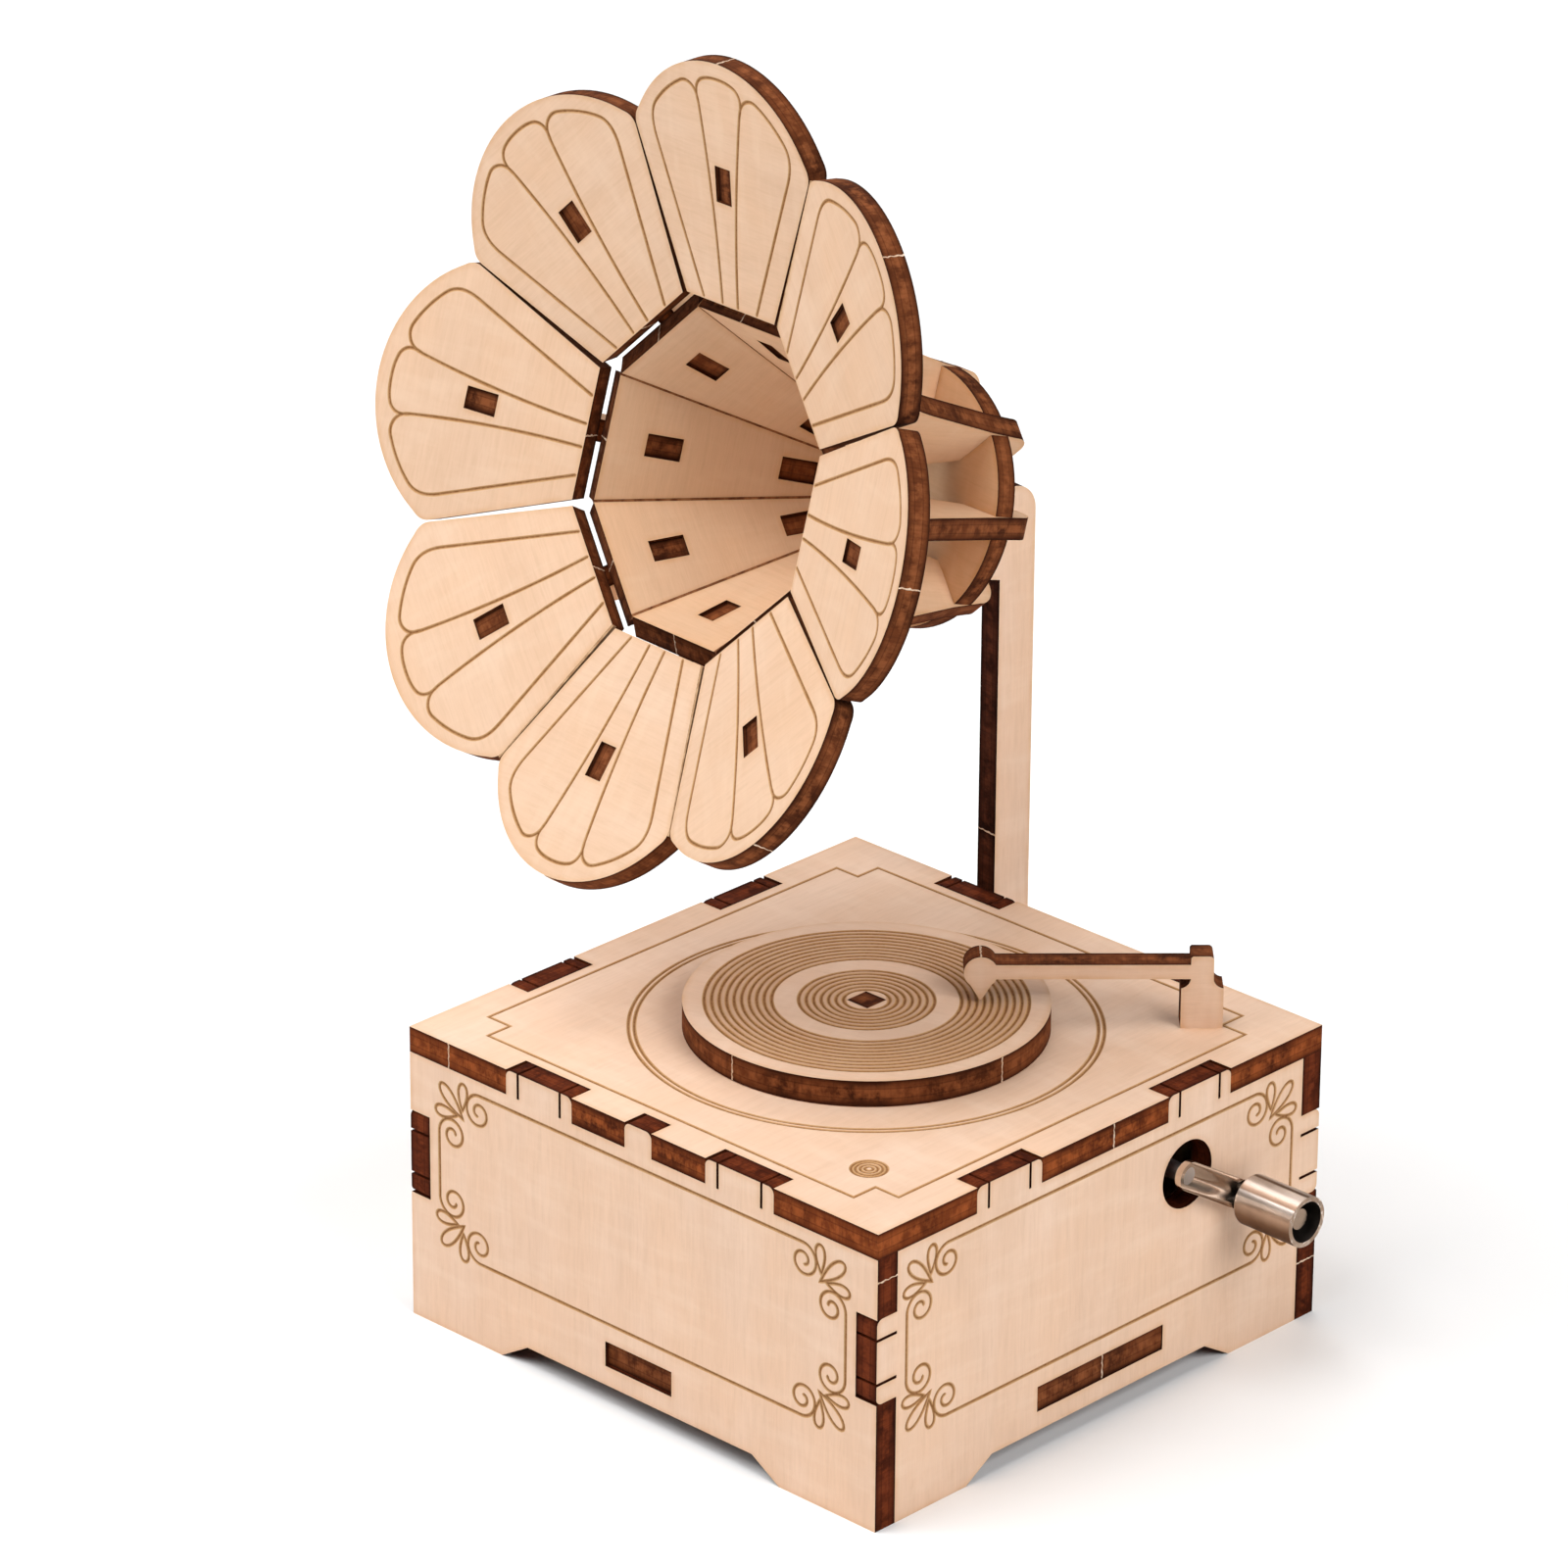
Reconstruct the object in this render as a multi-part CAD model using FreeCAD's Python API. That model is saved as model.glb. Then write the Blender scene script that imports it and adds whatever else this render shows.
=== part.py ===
import FreeCAD, Part

import math
import os

# Hand crank music box in the form of a small gramophone, cut from plywood: 3 mm for the box,
# the turntable and the post, and 2.5 mm for the horn.
# Units are millimetres.  +Z is up, the ground is z = 0 and the origin is under the middle
# of the box.  +X is the side with the crank, -Y is the side the horn faces.

V = FreeCAD.Vector
UP = V(0, 0, 1)

# ---------------------------------------------------------------- driving dimensions
ply = 3.0                     # plywood thickness
horn_ply = 2.5                # and that of the horn's thinner sheet
fit = 0.02                    # slack round each glued tab
box_side = 70.0               # outside of the box, both ways
box_height = 35.0
half = box_side / 2
inside = half - ply           # inner face of the panels
lid_under = box_height - ply  # underside of the top plate

foot_length = 14.0            # flat part of each foot
foot_slope = 4.0              # length of the slope behind the foot
arch_height = 2.4             # height of the arch between the feet
floor_low = 4.7               # underside of the bottom plate
floor_top = floor_low + ply

tab_width = 10.0              # wide tabs and fingers
tab_place = 15.0              # distance of a wide tab from the middle
middle_tab = 4.0              # narrow tab of the front panel
finger_height = 20.0          # middle height of the corner fingers
tab_round = 0.8               # round outer corners of the tabs and fingers
slit_width = 0.35             # flex slits beside the tab ends
tab_slit = 3.2                # distance of the slits from a tab's middle
finger_slit = 2.6
floor_tab_side = 20.0         # bottom plate tabs in the side panels
floor_tab_front = 10.0        # bottom plate tabs in the front and back panels
floor_recess_side = 0.2       # those tabs end this far inside the walls' outer faces
floor_recess_front = 0.5

crank_hole = (13.3, 24.7)     # Y and Z of the middle of the hole in the crank side
crank_hole_d = 7.9

disc_radius = 20.0            # record
disc_gap = 0.1                # air under the record
spindle_side = 3.0            # square wooden spindle
spindle_hole_d = 4.4
washer_d = 9.0

arm_angle = 45.0              # the tonearm stands on the diagonal of the box
arm_shift = -0.7              # and is this far beside it
arm_foot = (34.0, 38.6)       # distances from the middle of the box, along the diagonal
arm_neck = (35.0, 37.5)
arm_tab_step = 0.6            # the tab in the top plate is narrower by this at each end
arm_head = (12.3, 41.7)       # distance and height of the middle of the head
arm_head_r = 1.85
arm_bar = (40.9, 42.6)        # heights of the bar
arm_top = 43.6
arm_top_round = 0.5           # round corner at the top of the neck
arm_top_chamfer = 0.2
arm_shoulder = 39.8           # height of the foot's shoulders
arm_shoulder_rise = 1.0       # the neck's curved root ends this much higher
arm_shoulder_bend = 0.35      # bulge of that curve
stylus_tip = 38.5
stylus_tip_half = 0.12
stylus_root = 1.1             # the stylus leaves the head this far below its middle
stylus_root_half = 1.35

post_x = -15.0                # the horn's post, behind the back panel
post_width = 5.0
post_low = 9.0
post_high = 83.7
post_foot_chamfer = 2.0
post_round = 3.3              # round corner at the top
post_tabs = (16.0, 26.0)      # middle heights of the post's two tabs
post_tab_height = 6.0
arm_root_height = 73.0        # the post's forward arm leaves it at this height
arm_edges = (2.8, 9.1)        # the arm's two edges at the back disc, below the horn's axis

horn_turn = 7.3               # the post stands turned by this much in its slot
horn_tilt = 17.0              # rise of the horn's axis
horn_roll = 2.3               # turn of the horn about its own axis
horn_reach = 41.4             # from the back of the box to the middle of the mouth
horn_height = 94.9            # height of the middle of the mouth
sectors = 8
sector_angle = 360.0 / sectors

mouth_apothem = 18.3          # where the petal planes meet the mouth plane
petal_flare = 19.5
petal_start = 0.4             # distances along a petal from the mouth plane
petal_end = 27.65
petal_round = 16.1            # radius of the petal's outer end
petal_neck = 7.36             # half width of the petal at its inner edge
petal_side = 22.1             # angle of the petal's sides
petal_side_end = 18.5         # distance at which the straight sides end
petal_sweep = 59.2            # half angle of the round outer end
petal_corner_round = 2.0
petal_slot = (12.1, 16.1)

cone_apothem = 17.5           # inner face of the cone, this far behind the mouth plane
cone_offset = -1.1
cone_angle = 26.57
cone_start = 0.65             # distances along a cone panel
cone_end = 27.0
cone_slots = (7.1, 22.4)      # middles of the two slots
slot_length = 4.0
tab_recess = 0.4              # the ribs' tabs stop short of the visible faces

disc_front = -30.5            # back disc of the horn, along the axis
back_disc_r = 14.7
rib_slot_floor = 10.2         # the ribs' slots in the back disc start here
rib_back = -36.9
rib_tip_round = 2.3
rib_petal_reach = (9.6, 17.8)  # stretch of the petal that a rib backs
rib_cone_reach = (3.4, 26.7)   # stretch of the cone panel that a rib backs
rib_outer_bend = (23.2, -7.2)  # middles of the rib's curved edges, as (radius, depth)
rib_inner_bend = (21.9, -2.9)
rib_shoulder = (17.3, -20.0)   # the outer edge is straight from here to the back disc
rib_disc_radius = 15.0         # the outer edge at the disc's front face
rib_tip_radius = 14.35         # and just behind the disc
rib_seat_radius = 9.2          # the rib leans on the disc's front face from here out
arm_tab = (3.4, 8.6)          # the post's tab in the back disc, below the axis

axle_y = 11.7                 # crank shaft
axle_z = 25.6
axle_start_x = -6.0
shaft_r = 1.0
running_gap = 0.05            # radial air in the bearings
knob_y = 21.3                 # knob pin
knob_z = 19.65
crank_arm_x = (36.1, 36.9)
crank_arm_half = 1.65
sheet = 0.5                   # sheet of the crank arm
knob_x = (37.1, 45.2)
knob_r = 2.9
knob_round = 0.5              # round edge at the knob's inner end
knob_recess_r = 2.35
knob_recess = 3.0
rivet_r = 0.8
rivet_head_r = 1.2
rivet_end = 44.2

wheel_x = 5.0                 # music cylinder's axis
wheel_z = 17.9
teeth = 20
wheel_tip_r = 5.75
wheel_root_r = 4.65
wheel_pitch_r = 5.4
wheel_thick = 1.6
wheel_phase = 90.0            # one tooth points straight up, between two turns of the worm
worm_turns = 3                # an odd number, so that the wheel's top tooth faces a gap
worm_pitch = 2 * math.pi * wheel_pitch_r / teeth
worm_root_r = 1.75
worm_tip_r = 2.85
tooth_root = 0.85             # widths of the worm's thread and of the wheel's teeth
tooth_tip = 0.35
tooth_sink = 0.2              # the teeth start this far inside the core
cylinder_r = 6.5
cylinder_wall = 0.5
cylinder_y = (-13.2, 8.5)
cylinder_middle = sum(cylinder_y) / 2
cylinder_shaft_y = (-16.5, 16.5)
cap_thick = 1.0
pin_r = 0.2
pin_tip_r = 6.95
pins_per_note = 2
note_turn = 137.0             # degrees round the cylinder from one note's pins to the next's
beat_turn = 163.0             # and between the pins of one note
notes = 18
note_pitch = 1.1
tooth_gap = 0.25
tooth_step = 0.2              # each comb tooth is this much shorter than the one before
comb_z = 18.4
comb_thick = 0.8
comb_air = 0.15               # between the teeth and the pins
comb_tip_x = wheel_x - pin_tip_r - comb_air
comb_back_x = -18.0
comb_root_x = -12.0
comb_block_x = (comb_back_x, comb_root_x - 1.0)
comb_screw_places = [(-15.0, -8.0), (-15.0, 5.0)]
comb_screw_length = 5.0
base_x = (-24.0, 19.5)
base_y = (-20.5, 20.5)
base_thick = 1.8
base_top = floor_top + base_thick
base_screw_places = [(-21.0, -14.0), (-21.0, 15.0), (15.0, -5.0)]

bracket_width = 6.0
bracket_foot = 1.4            # thickness of the brackets' feet
bracket_foot_length = 4.6
bracket_over = 3.0            # height of a bracket above the shaft it holds
front_bracket_y = (-15.5, -13.9)
back_bracket_y = (14.2, 15.8)
inner_bracket_x = (-4.2, -2.4)
outer_bracket_x = (12.4, 14.2)
bracket_screw_places = [(wheel_x, -17.8), (wheel_x, 18.1), (-6.6, axle_y), (16.6, axle_y)]
bracket_screw_length = 3.0

screw_head_r = 1.7
screw_head = 1.1
screw_shank_r = 1.0
screw_slot = 0.4


# ---------------------------------------------------------------- small helpers
def block(x, y, z):
    """A box from pairs of limits along X, Y and Z."""
    return Part.makeBox(x[1] - x[0], y[1] - y[0], z[1] - z[0], V(x[0], y[0], z[0]))


def rod(radius, start, direction, length):
    return Part.makeCylinder(radius, length, start, direction)


def span(middle, width):
    return (middle - width / 2, middle + width / 2)


def polygon(points):
    return Part.makePolygon(list(points) + [points[0]])


def slab(wire, thickness):
    """A flat wire made into a plate."""
    face = Part.Face(wire)
    return face.extrude(thickness)


def wire_of(edges):
    return Part.Wire(Part.__sortEdges__(edges))


def line(a, b):
    return Part.LineSegment(a, b).toShape()


def arc(a, b, c):
    return Part.Arc(a, b, c).toShape()


def all_of(shapes):
    """One solid from pieces that touch or overlap."""
    joined = shapes[0].fuse(shapes[1:])
    return joined.removeSplitter()


def group(shapes):
    return Part.makeCompound(shapes)


def export(name, shape):
    shape.exportStep("parts/" + name + ".step")


# ---------------------------------------------------------------- the box
def wall_outline(reach):
    """Outline of a box panel below its tabs, along (u, z), for a panel from -reach to reach."""
    foot = half - foot_length
    arch = foot - foot_slope
    return [(-reach, 0), (-foot, 0), (-arch, arch_height), (arch, arch_height), (foot, 0),
            (reach, 0), (reach, lid_under), (-reach, lid_under)]


def wall(reach, to_point, outward):
    """A panel in the plane that to_point(u, z) gives, with its thickness along outward."""
    points = [to_point(u, z) for u, z in wall_outline(reach)]
    return slab(polygon(points), outward * ply)


def round_corners(plate, is_corner):
    """Rounds those of a plate's short edges, the ones as long as it is thick, that are corners."""
    corners = [edge for edge in plate.Edges
               if abs(edge.Length - ply) < 0.01 and is_corner(edge.CenterOfMass)]
    return plate.makeFillet(tab_round, corners)


def tab_with_slits(make_box, middle, width):
    """A tab on a panel's top edge, and the slits cut in it."""
    tab = make_box(span(middle, width), (lid_under, box_height))
    tab = round_corners(tab, lambda place: abs(place.z - box_height) < 0.01)
    slits = []
    if width == tab_width:
        for side in (-1, 1):
            place = middle + side * tab_slit
            slits.append(make_box(span(place, slit_width), (lid_under, box_height)))
    return tab, slits


def add_tabs(panel, make_box, tabs):
    shapes = [panel]
    cuts = []
    for middle, width in tabs:
        tab, slits = tab_with_slits(make_box, middle, width)
        shapes.append(tab)
        cuts += slits
    return all_of(shapes).cut(cuts)


def front_or_back(side, tabs):
    """The panel at Y = side * half."""
    near, far = sorted((side * inside, side * half))

    def make_box(x, z):
        return block(x, (near, far), z)

    def to_point(u, z):
        return V(u, near, z)

    panel = add_tabs(wall(half, to_point, V(0, 1, 0)), make_box, tabs)
    finger = span(finger_height, tab_width)
    cuts = [make_box((-half, -inside), finger), make_box((inside, half), finger)]
    cuts.append(make_box(span(0, floor_tab_front), (floor_low, floor_top)))
    return panel.cut(cuts)


def side_panel(side, tabs):
    """The panel at X = side * half, with a finger at each end."""
    near, far = sorted((side * inside, side * half))

    def make_box(y, z):
        return block((near, far), y, z)

    def to_point(u, z):
        return V(near, u, z)

    panel = add_tabs(wall(inside, to_point, V(1, 0, 0)), make_box, tabs)
    finger = span(finger_height, tab_width)
    panel = all_of([panel, make_box((-half, half), finger)])
    panel = round_corners(panel, lambda place: abs(abs(place.y) - half) < 0.01)
    cuts = [make_box(span(0, floor_tab_side), (floor_low, floor_top))]
    for end in (-1, 1):
        reach = tuple(sorted((end * inside, end * half)))
        for offset in (-finger_slit, finger_slit):
            cuts.append(make_box(reach, span(finger_height + offset, slit_width)))
    return panel.cut(cuts)


def crank_side_panel(tabs):
    hole = rod(crank_hole_d / 2, V(inside - 1, crank_hole[0], crank_hole[1]), V(1, 0, 0), ply + 2)
    return side_panel(1, tabs).cut(hole)


def bottom_plate():
    plate = block((-inside, inside), (-inside, inside), (floor_low, floor_top))
    along_x = block(span(0, 2 * (half - floor_recess_side)), span(0, floor_tab_side),
                    (floor_low, floor_top))
    along_y = block(span(0, floor_tab_front), span(0, 2 * (half - floor_recess_front)),
                    (floor_low, floor_top))
    return all_of([plate, along_x, along_y])


def top_plate(front_tabs, back_tabs, side_tabs):
    height = (lid_under, box_height)
    plate = block((-half, half), (-half, half), height)
    cuts = []
    for middle, width in front_tabs:
        cuts.append(block(span(middle, width), (-half, -inside), height))
    for middle, width in back_tabs:
        cuts.append(block(span(middle, width), (inside, half), height))
    for middle, width in side_tabs:
        for reach in ((-half, -inside), (inside, half)):
            cuts.append(block(reach, span(middle, width), height))
    cuts.append(rod(spindle_hole_d / 2, V(0, 0, lid_under - 1), UP, ply + 2))
    return plate.cut(cuts)


# ---------------------------------------------------------------- record and tonearm
def square_rod(side, low, high):
    return block(span(0, side), span(0, side), (low, high))


def record_disc():
    low = box_height + disc_gap
    disc = rod(disc_radius, V(0, 0, low), UP, ply)
    return disc.cut(square_rod(spindle_side + 2 * fit, low - 1, low + ply + 1))


def record_spindle():
    top = box_height + disc_gap + ply
    return square_rod(spindle_side, lid_under - disc_gap - ply, top)


def spindle_washer():
    high = lid_under - disc_gap
    ring = rod(washer_d / 2, V(0, 0, high - ply), UP, ply)
    return ring.cut(square_rod(spindle_side + 2 * fit, high - ply - 1, high + 1))


def along_diagonal(shape):
    """Turns a shape drawn in the XZ plane onto the tonearm's diagonal."""
    shape.rotate(V(0, 0, 0), UP, arm_angle)
    return shape


def arm_plate(wire):
    plate = slab(wire, V(0, ply, 0))
    plate.translate(V(0, -arm_shift - ply / 2, 0))
    return plate


def tonearm_tab(slack):
    length = (arm_foot[0] + arm_tab_step - slack, arm_foot[1] - arm_tab_step + slack)
    width = span(-arm_shift, ply + 2 * slack)
    return block(length, width, (lid_under - slack, box_height + slack))


def tonearm_neck():
    """Outline of the neck, which narrows from the foot's shoulders in two small curves."""
    left, right = arm_foot
    neck_left, neck_right = arm_neck
    root = arm_shoulder - arm_shoulder_rise
    bend = arm_shoulder_bend
    neck_low = arm_shoulder + arm_shoulder_rise
    corner = arm_top_round
    inset = corner * (1 - math.sqrt(0.5))
    chamfer = arm_top_chamfer
    return wire_of([
        line(V(left, 0, root), V(right, 0, root)),
        line(V(right, 0, root), V(right, 0, arm_shoulder)),
        arc(V(right, 0, arm_shoulder), V(neck_right + bend, 0, arm_shoulder + bend),
            V(neck_right, 0, neck_low)),
        line(V(neck_right, 0, neck_low), V(neck_right, 0, arm_top - corner)),
        arc(V(neck_right, 0, arm_top - corner), V(neck_right - inset, 0, arm_top - inset),
            V(neck_right - corner, 0, arm_top)),
        line(V(neck_right - corner, 0, arm_top), V(neck_left + chamfer, 0, arm_top)),
        line(V(neck_left + chamfer, 0, arm_top), V(neck_left, 0, arm_top - chamfer)),
        line(V(neck_left, 0, arm_top - chamfer), V(neck_left, 0, neck_low)),
        arc(V(neck_left, 0, neck_low), V(neck_left - bend, 0, arm_shoulder + bend),
            V(left, 0, arm_shoulder)),
        line(V(left, 0, arm_shoulder), V(left, 0, root)),
    ])


def tonearm():
    head_x, head_z = arm_head
    bar_end = arm_neck[0] + arm_top_round
    bar_low, bar_high = arm_bar
    root = head_z - stylus_root

    def upright(corners):
        return polygon([V(x, 0, z) for x, z in corners])

    outlines = [
        upright([(arm_foot[0], box_height), (arm_foot[1], box_height),
                 (arm_foot[1], arm_shoulder), (arm_foot[0], arm_shoulder)]),
        tonearm_neck(),
        upright([(head_x, bar_low), (bar_end, bar_low), (bar_end, bar_high), (head_x, bar_high)]),
        Part.Wire(Part.Circle(V(head_x, 0, head_z), V(0, 1, 0), arm_head_r).toShape()),
        upright([(head_x - stylus_root_half, root), (head_x - stylus_tip_half, stylus_tip),
                 (head_x + stylus_tip_half, stylus_tip), (head_x + stylus_root_half, root)]),
    ]
    flat = [arm_plate(outline) for outline in outlines]
    return along_diagonal(all_of(flat + [tonearm_tab(0)]))


# ---------------------------------------------------------------- the horn's frame
turn = math.radians(horn_turn)
tilt = math.radians(horn_tilt)
ahead = V(-math.sin(turn), -math.cos(turn), 0)     # level direction the horn faces
beside = V(math.cos(turn), -math.sin(turn), 0)     # level, to the right of the post's plane
axis = ahead * math.cos(tilt) + UP * math.sin(tilt)
rise = UP * math.cos(tilt) - ahead * math.sin(tilt)
edge_slip = (ply / 2) * math.sin(turn)             # keeps the turned post off the panel
post_foot = V(post_x, half, 0)
mouth = post_foot + ahead * horn_reach + UP * horn_height


def frame_matrix(x_axis, y_axis, z_axis, origin):
    return FreeCAD.Matrix(x_axis.x, y_axis.x, z_axis.x, origin.x,
                          x_axis.y, y_axis.y, z_axis.y, origin.y,
                          x_axis.z, y_axis.z, z_axis.z, origin.z,
                          0, 0, 0, 1)


horn_frame = FreeCAD.Placement(frame_matrix(rise, beside * -1, axis, mouth))


def in_sector(shape, number):
    """Places a shape drawn in the XZ plane of the horn's frame into a sector."""
    spin = FreeCAD.Rotation(UP, number * sector_angle + horn_roll)
    placed = shape.copy()
    sector = horn_frame.multiply(FreeCAD.Placement(V(0, 0, 0), spin))
    placed.Placement = sector.multiply(shape.Placement)
    return placed


def petal_point(along, behind=0.0):
    """(radius, depth) of a point on a petal's middle line, behind its front face."""
    flare = math.radians(petal_flare)
    radius = mouth_apothem + along * math.cos(flare) + behind * math.sin(flare)
    depth = along * math.sin(flare) - behind * math.cos(flare)
    return (radius, depth)


def cone_point(along, outside=0.0):
    """(radius, depth) of a point on a cone panel's middle line, outside its inner face."""
    lean = math.radians(cone_angle)
    radius = cone_apothem - along * math.sin(lean) + outside * math.cos(lean)
    depth = cone_offset - along * math.cos(lean) - outside * math.sin(lean)
    return (radius, depth)


# ---------------------------------------------------------------- the horn's pieces
def petal():
    """One petal, drawn flat with its length along X, then leaned out by the flare."""
    widen = math.tan(math.radians(petal_side))
    side_half = petal_neck + (petal_side_end - petal_start) * widen
    sweep = math.radians(petal_sweep)
    end_x = petal_end - petal_round * (1 - math.cos(sweep))
    end_half = petal_round * math.sin(sweep)
    edges = [line(V(petal_start, -petal_neck, 0), V(petal_start, petal_neck, 0)),
             arc(V(end_x, -end_half, 0), V(petal_end, 0, 0), V(end_x, end_half, 0))]
    for side in (-1, 1):
        side_end = V(petal_side_end, side * side_half, 0)
        edges.append(line(V(petal_start, side * petal_neck, 0), side_end))
        edges.append(line(side_end, V(end_x, side * end_half, 0)))
    plate = slab(wire_of(edges), V(0, 0, -horn_ply))
    corners = []
    for edge in plate.Edges:
        ends = [vertex.Point for vertex in edge.Vertexes]
        upright = len(ends) == 2 and abs((ends[0] - ends[1]).z) > horn_ply / 2
        if upright and ends[0].x > petal_start + 1:
            corners.append(edge)
    plate = plate.makeFillet(petal_corner_round, corners)
    slot = block((petal_slot[0] - fit, petal_slot[1] + fit), span(0, horn_ply + 2 * fit),
                 (-horn_ply - 1, 1))
    plate = plate.cut(slot)
    plate.rotate(V(0, 0, 0), V(0, 1, 0), -petal_flare)
    plate.translate(V(mouth_apothem, 0, 0))
    return plate


def cone_panel():
    """One side of the eight-sided cone, drawn flat with its length along X."""
    widen = math.tan(math.radians(sector_angle / 2))
    front = cone_point(cone_start)[0] * widen - fit
    back = cone_point(cone_end)[0] * widen - fit
    points = [V(cone_start, -front, 0), V(cone_end, -back, 0), V(cone_end, back, 0),
              V(cone_start, front, 0)]
    plate = slab(polygon(points), V(0, 0, horn_ply))
    for middle in cone_slots:
        length = span(middle, slot_length + 2 * fit)
        plate = plate.cut(block(length, span(0, horn_ply + 2 * fit), (-1, horn_ply + 1)))
    lean = math.radians(cone_angle)
    along = V(-math.sin(lean), 0, -math.cos(lean))
    outward = V(math.cos(lean), 0, -math.sin(lean))
    origin = V(cone_apothem, 0, cone_offset)
    plate.Placement = FreeCAD.Placement(frame_matrix(along, outward.cross(along), outward, origin))
    return plate


def rib_tab(low, high):
    """Tab outline points through a cone slot, from its back end to its front end."""
    return [cone_point(high, horn_ply), cone_point(high, tab_recess),
            cone_point(low, tab_recess), cone_point(low, horn_ply)]


def rib():
    """One rib, standing in the XZ plane of the horn's frame."""
    def at(pair):
        return V(pair[0], -horn_ply / 2, pair[1])

    def chain(pairs):
        return [line(at(first), at(second)) for first, second in zip(pairs, pairs[1:])]

    petal_low, petal_high = petal_slot
    front = [petal_point(rib_petal_reach[0], horn_ply), petal_point(petal_low, horn_ply),
             petal_point(petal_low, tab_recess), petal_point(petal_high, tab_recess),
             petal_point(petal_high, horn_ply), petal_point(rib_petal_reach[1], horn_ply)]
    tip_start = rib_back + rib_tip_round
    outer = [rib_shoulder, (rib_disc_radius, disc_front), (rib_tip_radius, tip_start)]
    inset = rib_tip_round * (1 - math.sqrt(0.5))
    tip_middle = (rib_tip_radius - inset, rib_back + inset)
    seat = disc_front + fit
    inner = [(rib_tip_radius - rib_tip_round, rib_back), (rib_slot_floor + fit, rib_back),
             (rib_slot_floor + fit, seat), (rib_seat_radius, seat),
             cone_point(rib_cone_reach[1], horn_ply)]
    for middle in reversed(cone_slots):
        inner += rib_tab(middle - slot_length / 2, middle + slot_length / 2)
    inner.append(cone_point(rib_cone_reach[0], horn_ply))
    edges = chain(front) + chain(outer) + chain(inner)
    edges.append(arc(at(front[-1]), at(rib_outer_bend), at(outer[0])))
    edges.append(arc(at(outer[-1]), at(tip_middle), at(inner[0])))
    edges.append(arc(at(inner[-1]), at(rib_inner_bend), at(front[0])))
    return slab(wire_of(edges), V(0, horn_ply, 0))


def horn_back_disc():
    disc_back = disc_front - horn_ply
    disc = rod(back_disc_r, V(0, 0, disc_back), UP, horn_ply)
    disc.rotate(V(0, 0, 0), UP, -horn_roll)
    cuts = []
    for number in range(sectors):
        slot = block((rib_slot_floor, back_disc_r + 1), span(0, horn_ply + 2 * fit),
                     (disc_back - 1, disc_front + 1))
        slot.rotate(V(0, 0, 0), UP, number * sector_angle)
        cuts.append(slot)
    low, high = arm_tab
    window = block((-high - fit, -low + fit), span(0, ply + 2 * fit),
                   (disc_back - 1, disc_front + 1))
    window.rotate(V(0, 0, 0), UP, -horn_roll)
    cuts.append(window)
    return in_sector(disc.cut(cuts), 0)


def below_axis(drop, depth):
    """A point of the post's plane, a given drop below the horn's axis at a given depth."""
    return mouth + axis * depth - rise * drop


def post_point(back, height):
    """A point of the post's plane, a given distance behind the back panel."""
    return post_foot - ahead * (back + edge_slip) + UP * height


def post_tab(middle, slack):
    """A tab of the post that goes into the back panel."""
    low, high = span(middle, post_tab_height + 2 * slack)
    reach = ply - tab_recess
    points = [post_point(0.5, low), post_point(-reach, low), post_point(-reach, high),
              post_point(0.5, high)]
    tab = slab(polygon(points), beside * ply)
    tab.translate(beside * (-ply / 2))
    return tab


def horn_post():
    """The upright with its forward arm, which ends in a tab through the back disc."""
    low, high = arm_tab
    upper, lower = arm_edges
    disc_back = disc_front - horn_ply
    tab_end = disc_front - tab_recess
    inset = post_round * (1 - math.sqrt(0.5))
    top_start = post_point(post_width - post_round, post_high)
    top_middle = post_point(post_width - inset, post_high - inset)
    top_end = post_point(post_width, post_high - post_round)
    points = [top_end, post_point(post_width, post_low + post_foot_chamfer),
              post_point(post_width - post_foot_chamfer, post_low), post_point(0, post_low),
              post_point(0, arm_root_height), below_axis(lower, disc_back),
              below_axis(high, disc_back), below_axis(high, tab_end),
              below_axis(low, tab_end), below_axis(low, disc_back),
              below_axis(upper, disc_back), top_start]
    edges = [arc(top_start, top_middle, top_end)]
    for first, second in zip(points, points[1:]):
        edges.append(line(first, second))
    plate = slab(wire_of(edges), beside * ply)
    plate.translate(beside * (-ply / 2))
    return all_of([plate] + [post_tab(middle, 0) for middle in post_tabs])


def back_panel(tabs):
    """The back panel, with upright slots wide enough for the turned tabs of the post."""
    panel = front_or_back(1, tabs)
    for middle in post_tabs:
        room = post_tab(middle, fit).BoundBox
        slot = block((room.XMin - fit, room.XMax + fit), (inside - 1, half + 1),
                     (room.ZMin, room.ZMax))
        panel = panel.cut(slot)
    return panel


# ---------------------------------------------------------------- the crank
def oblong(half_width, x_limits):
    """A plate with round ends, from the crank shaft to the knob pin."""
    start = V(x_limits[0], axle_y, axle_z)
    end = V(x_limits[0], knob_y, knob_z)
    depth = x_limits[1] - x_limits[0]
    side = V(1, 0, 0).cross((end - start).normalize()) * half_width
    middle = slab(polygon([start + side, end + side, end - side, start - side]), V(depth, 0, 0))
    ends = [rod(half_width, point, V(1, 0, 0), depth) for point in (start, end)]
    return all_of([middle] + ends)


def crank_arm():
    low, high = crank_arm_x
    dish = oblong(crank_arm_half, crank_arm_x)
    dish = dish.cut(oblong(crank_arm_half - sheet, (low + sheet, high + 1)))
    holes = [rod(shaft_r, V(low - 1, axle_y, axle_z), V(1, 0, 0), 3),
             rod(rivet_r, V(low - 1, knob_y, knob_z), V(1, 0, 0), 3)]
    return dish.cut(holes)


def crank_shaft():
    start = V(axle_start_x, axle_y, axle_z)
    return rod(shaft_r, start, V(1, 0, 0), crank_arm_x[0] + sheet - axle_start_x)


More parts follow.
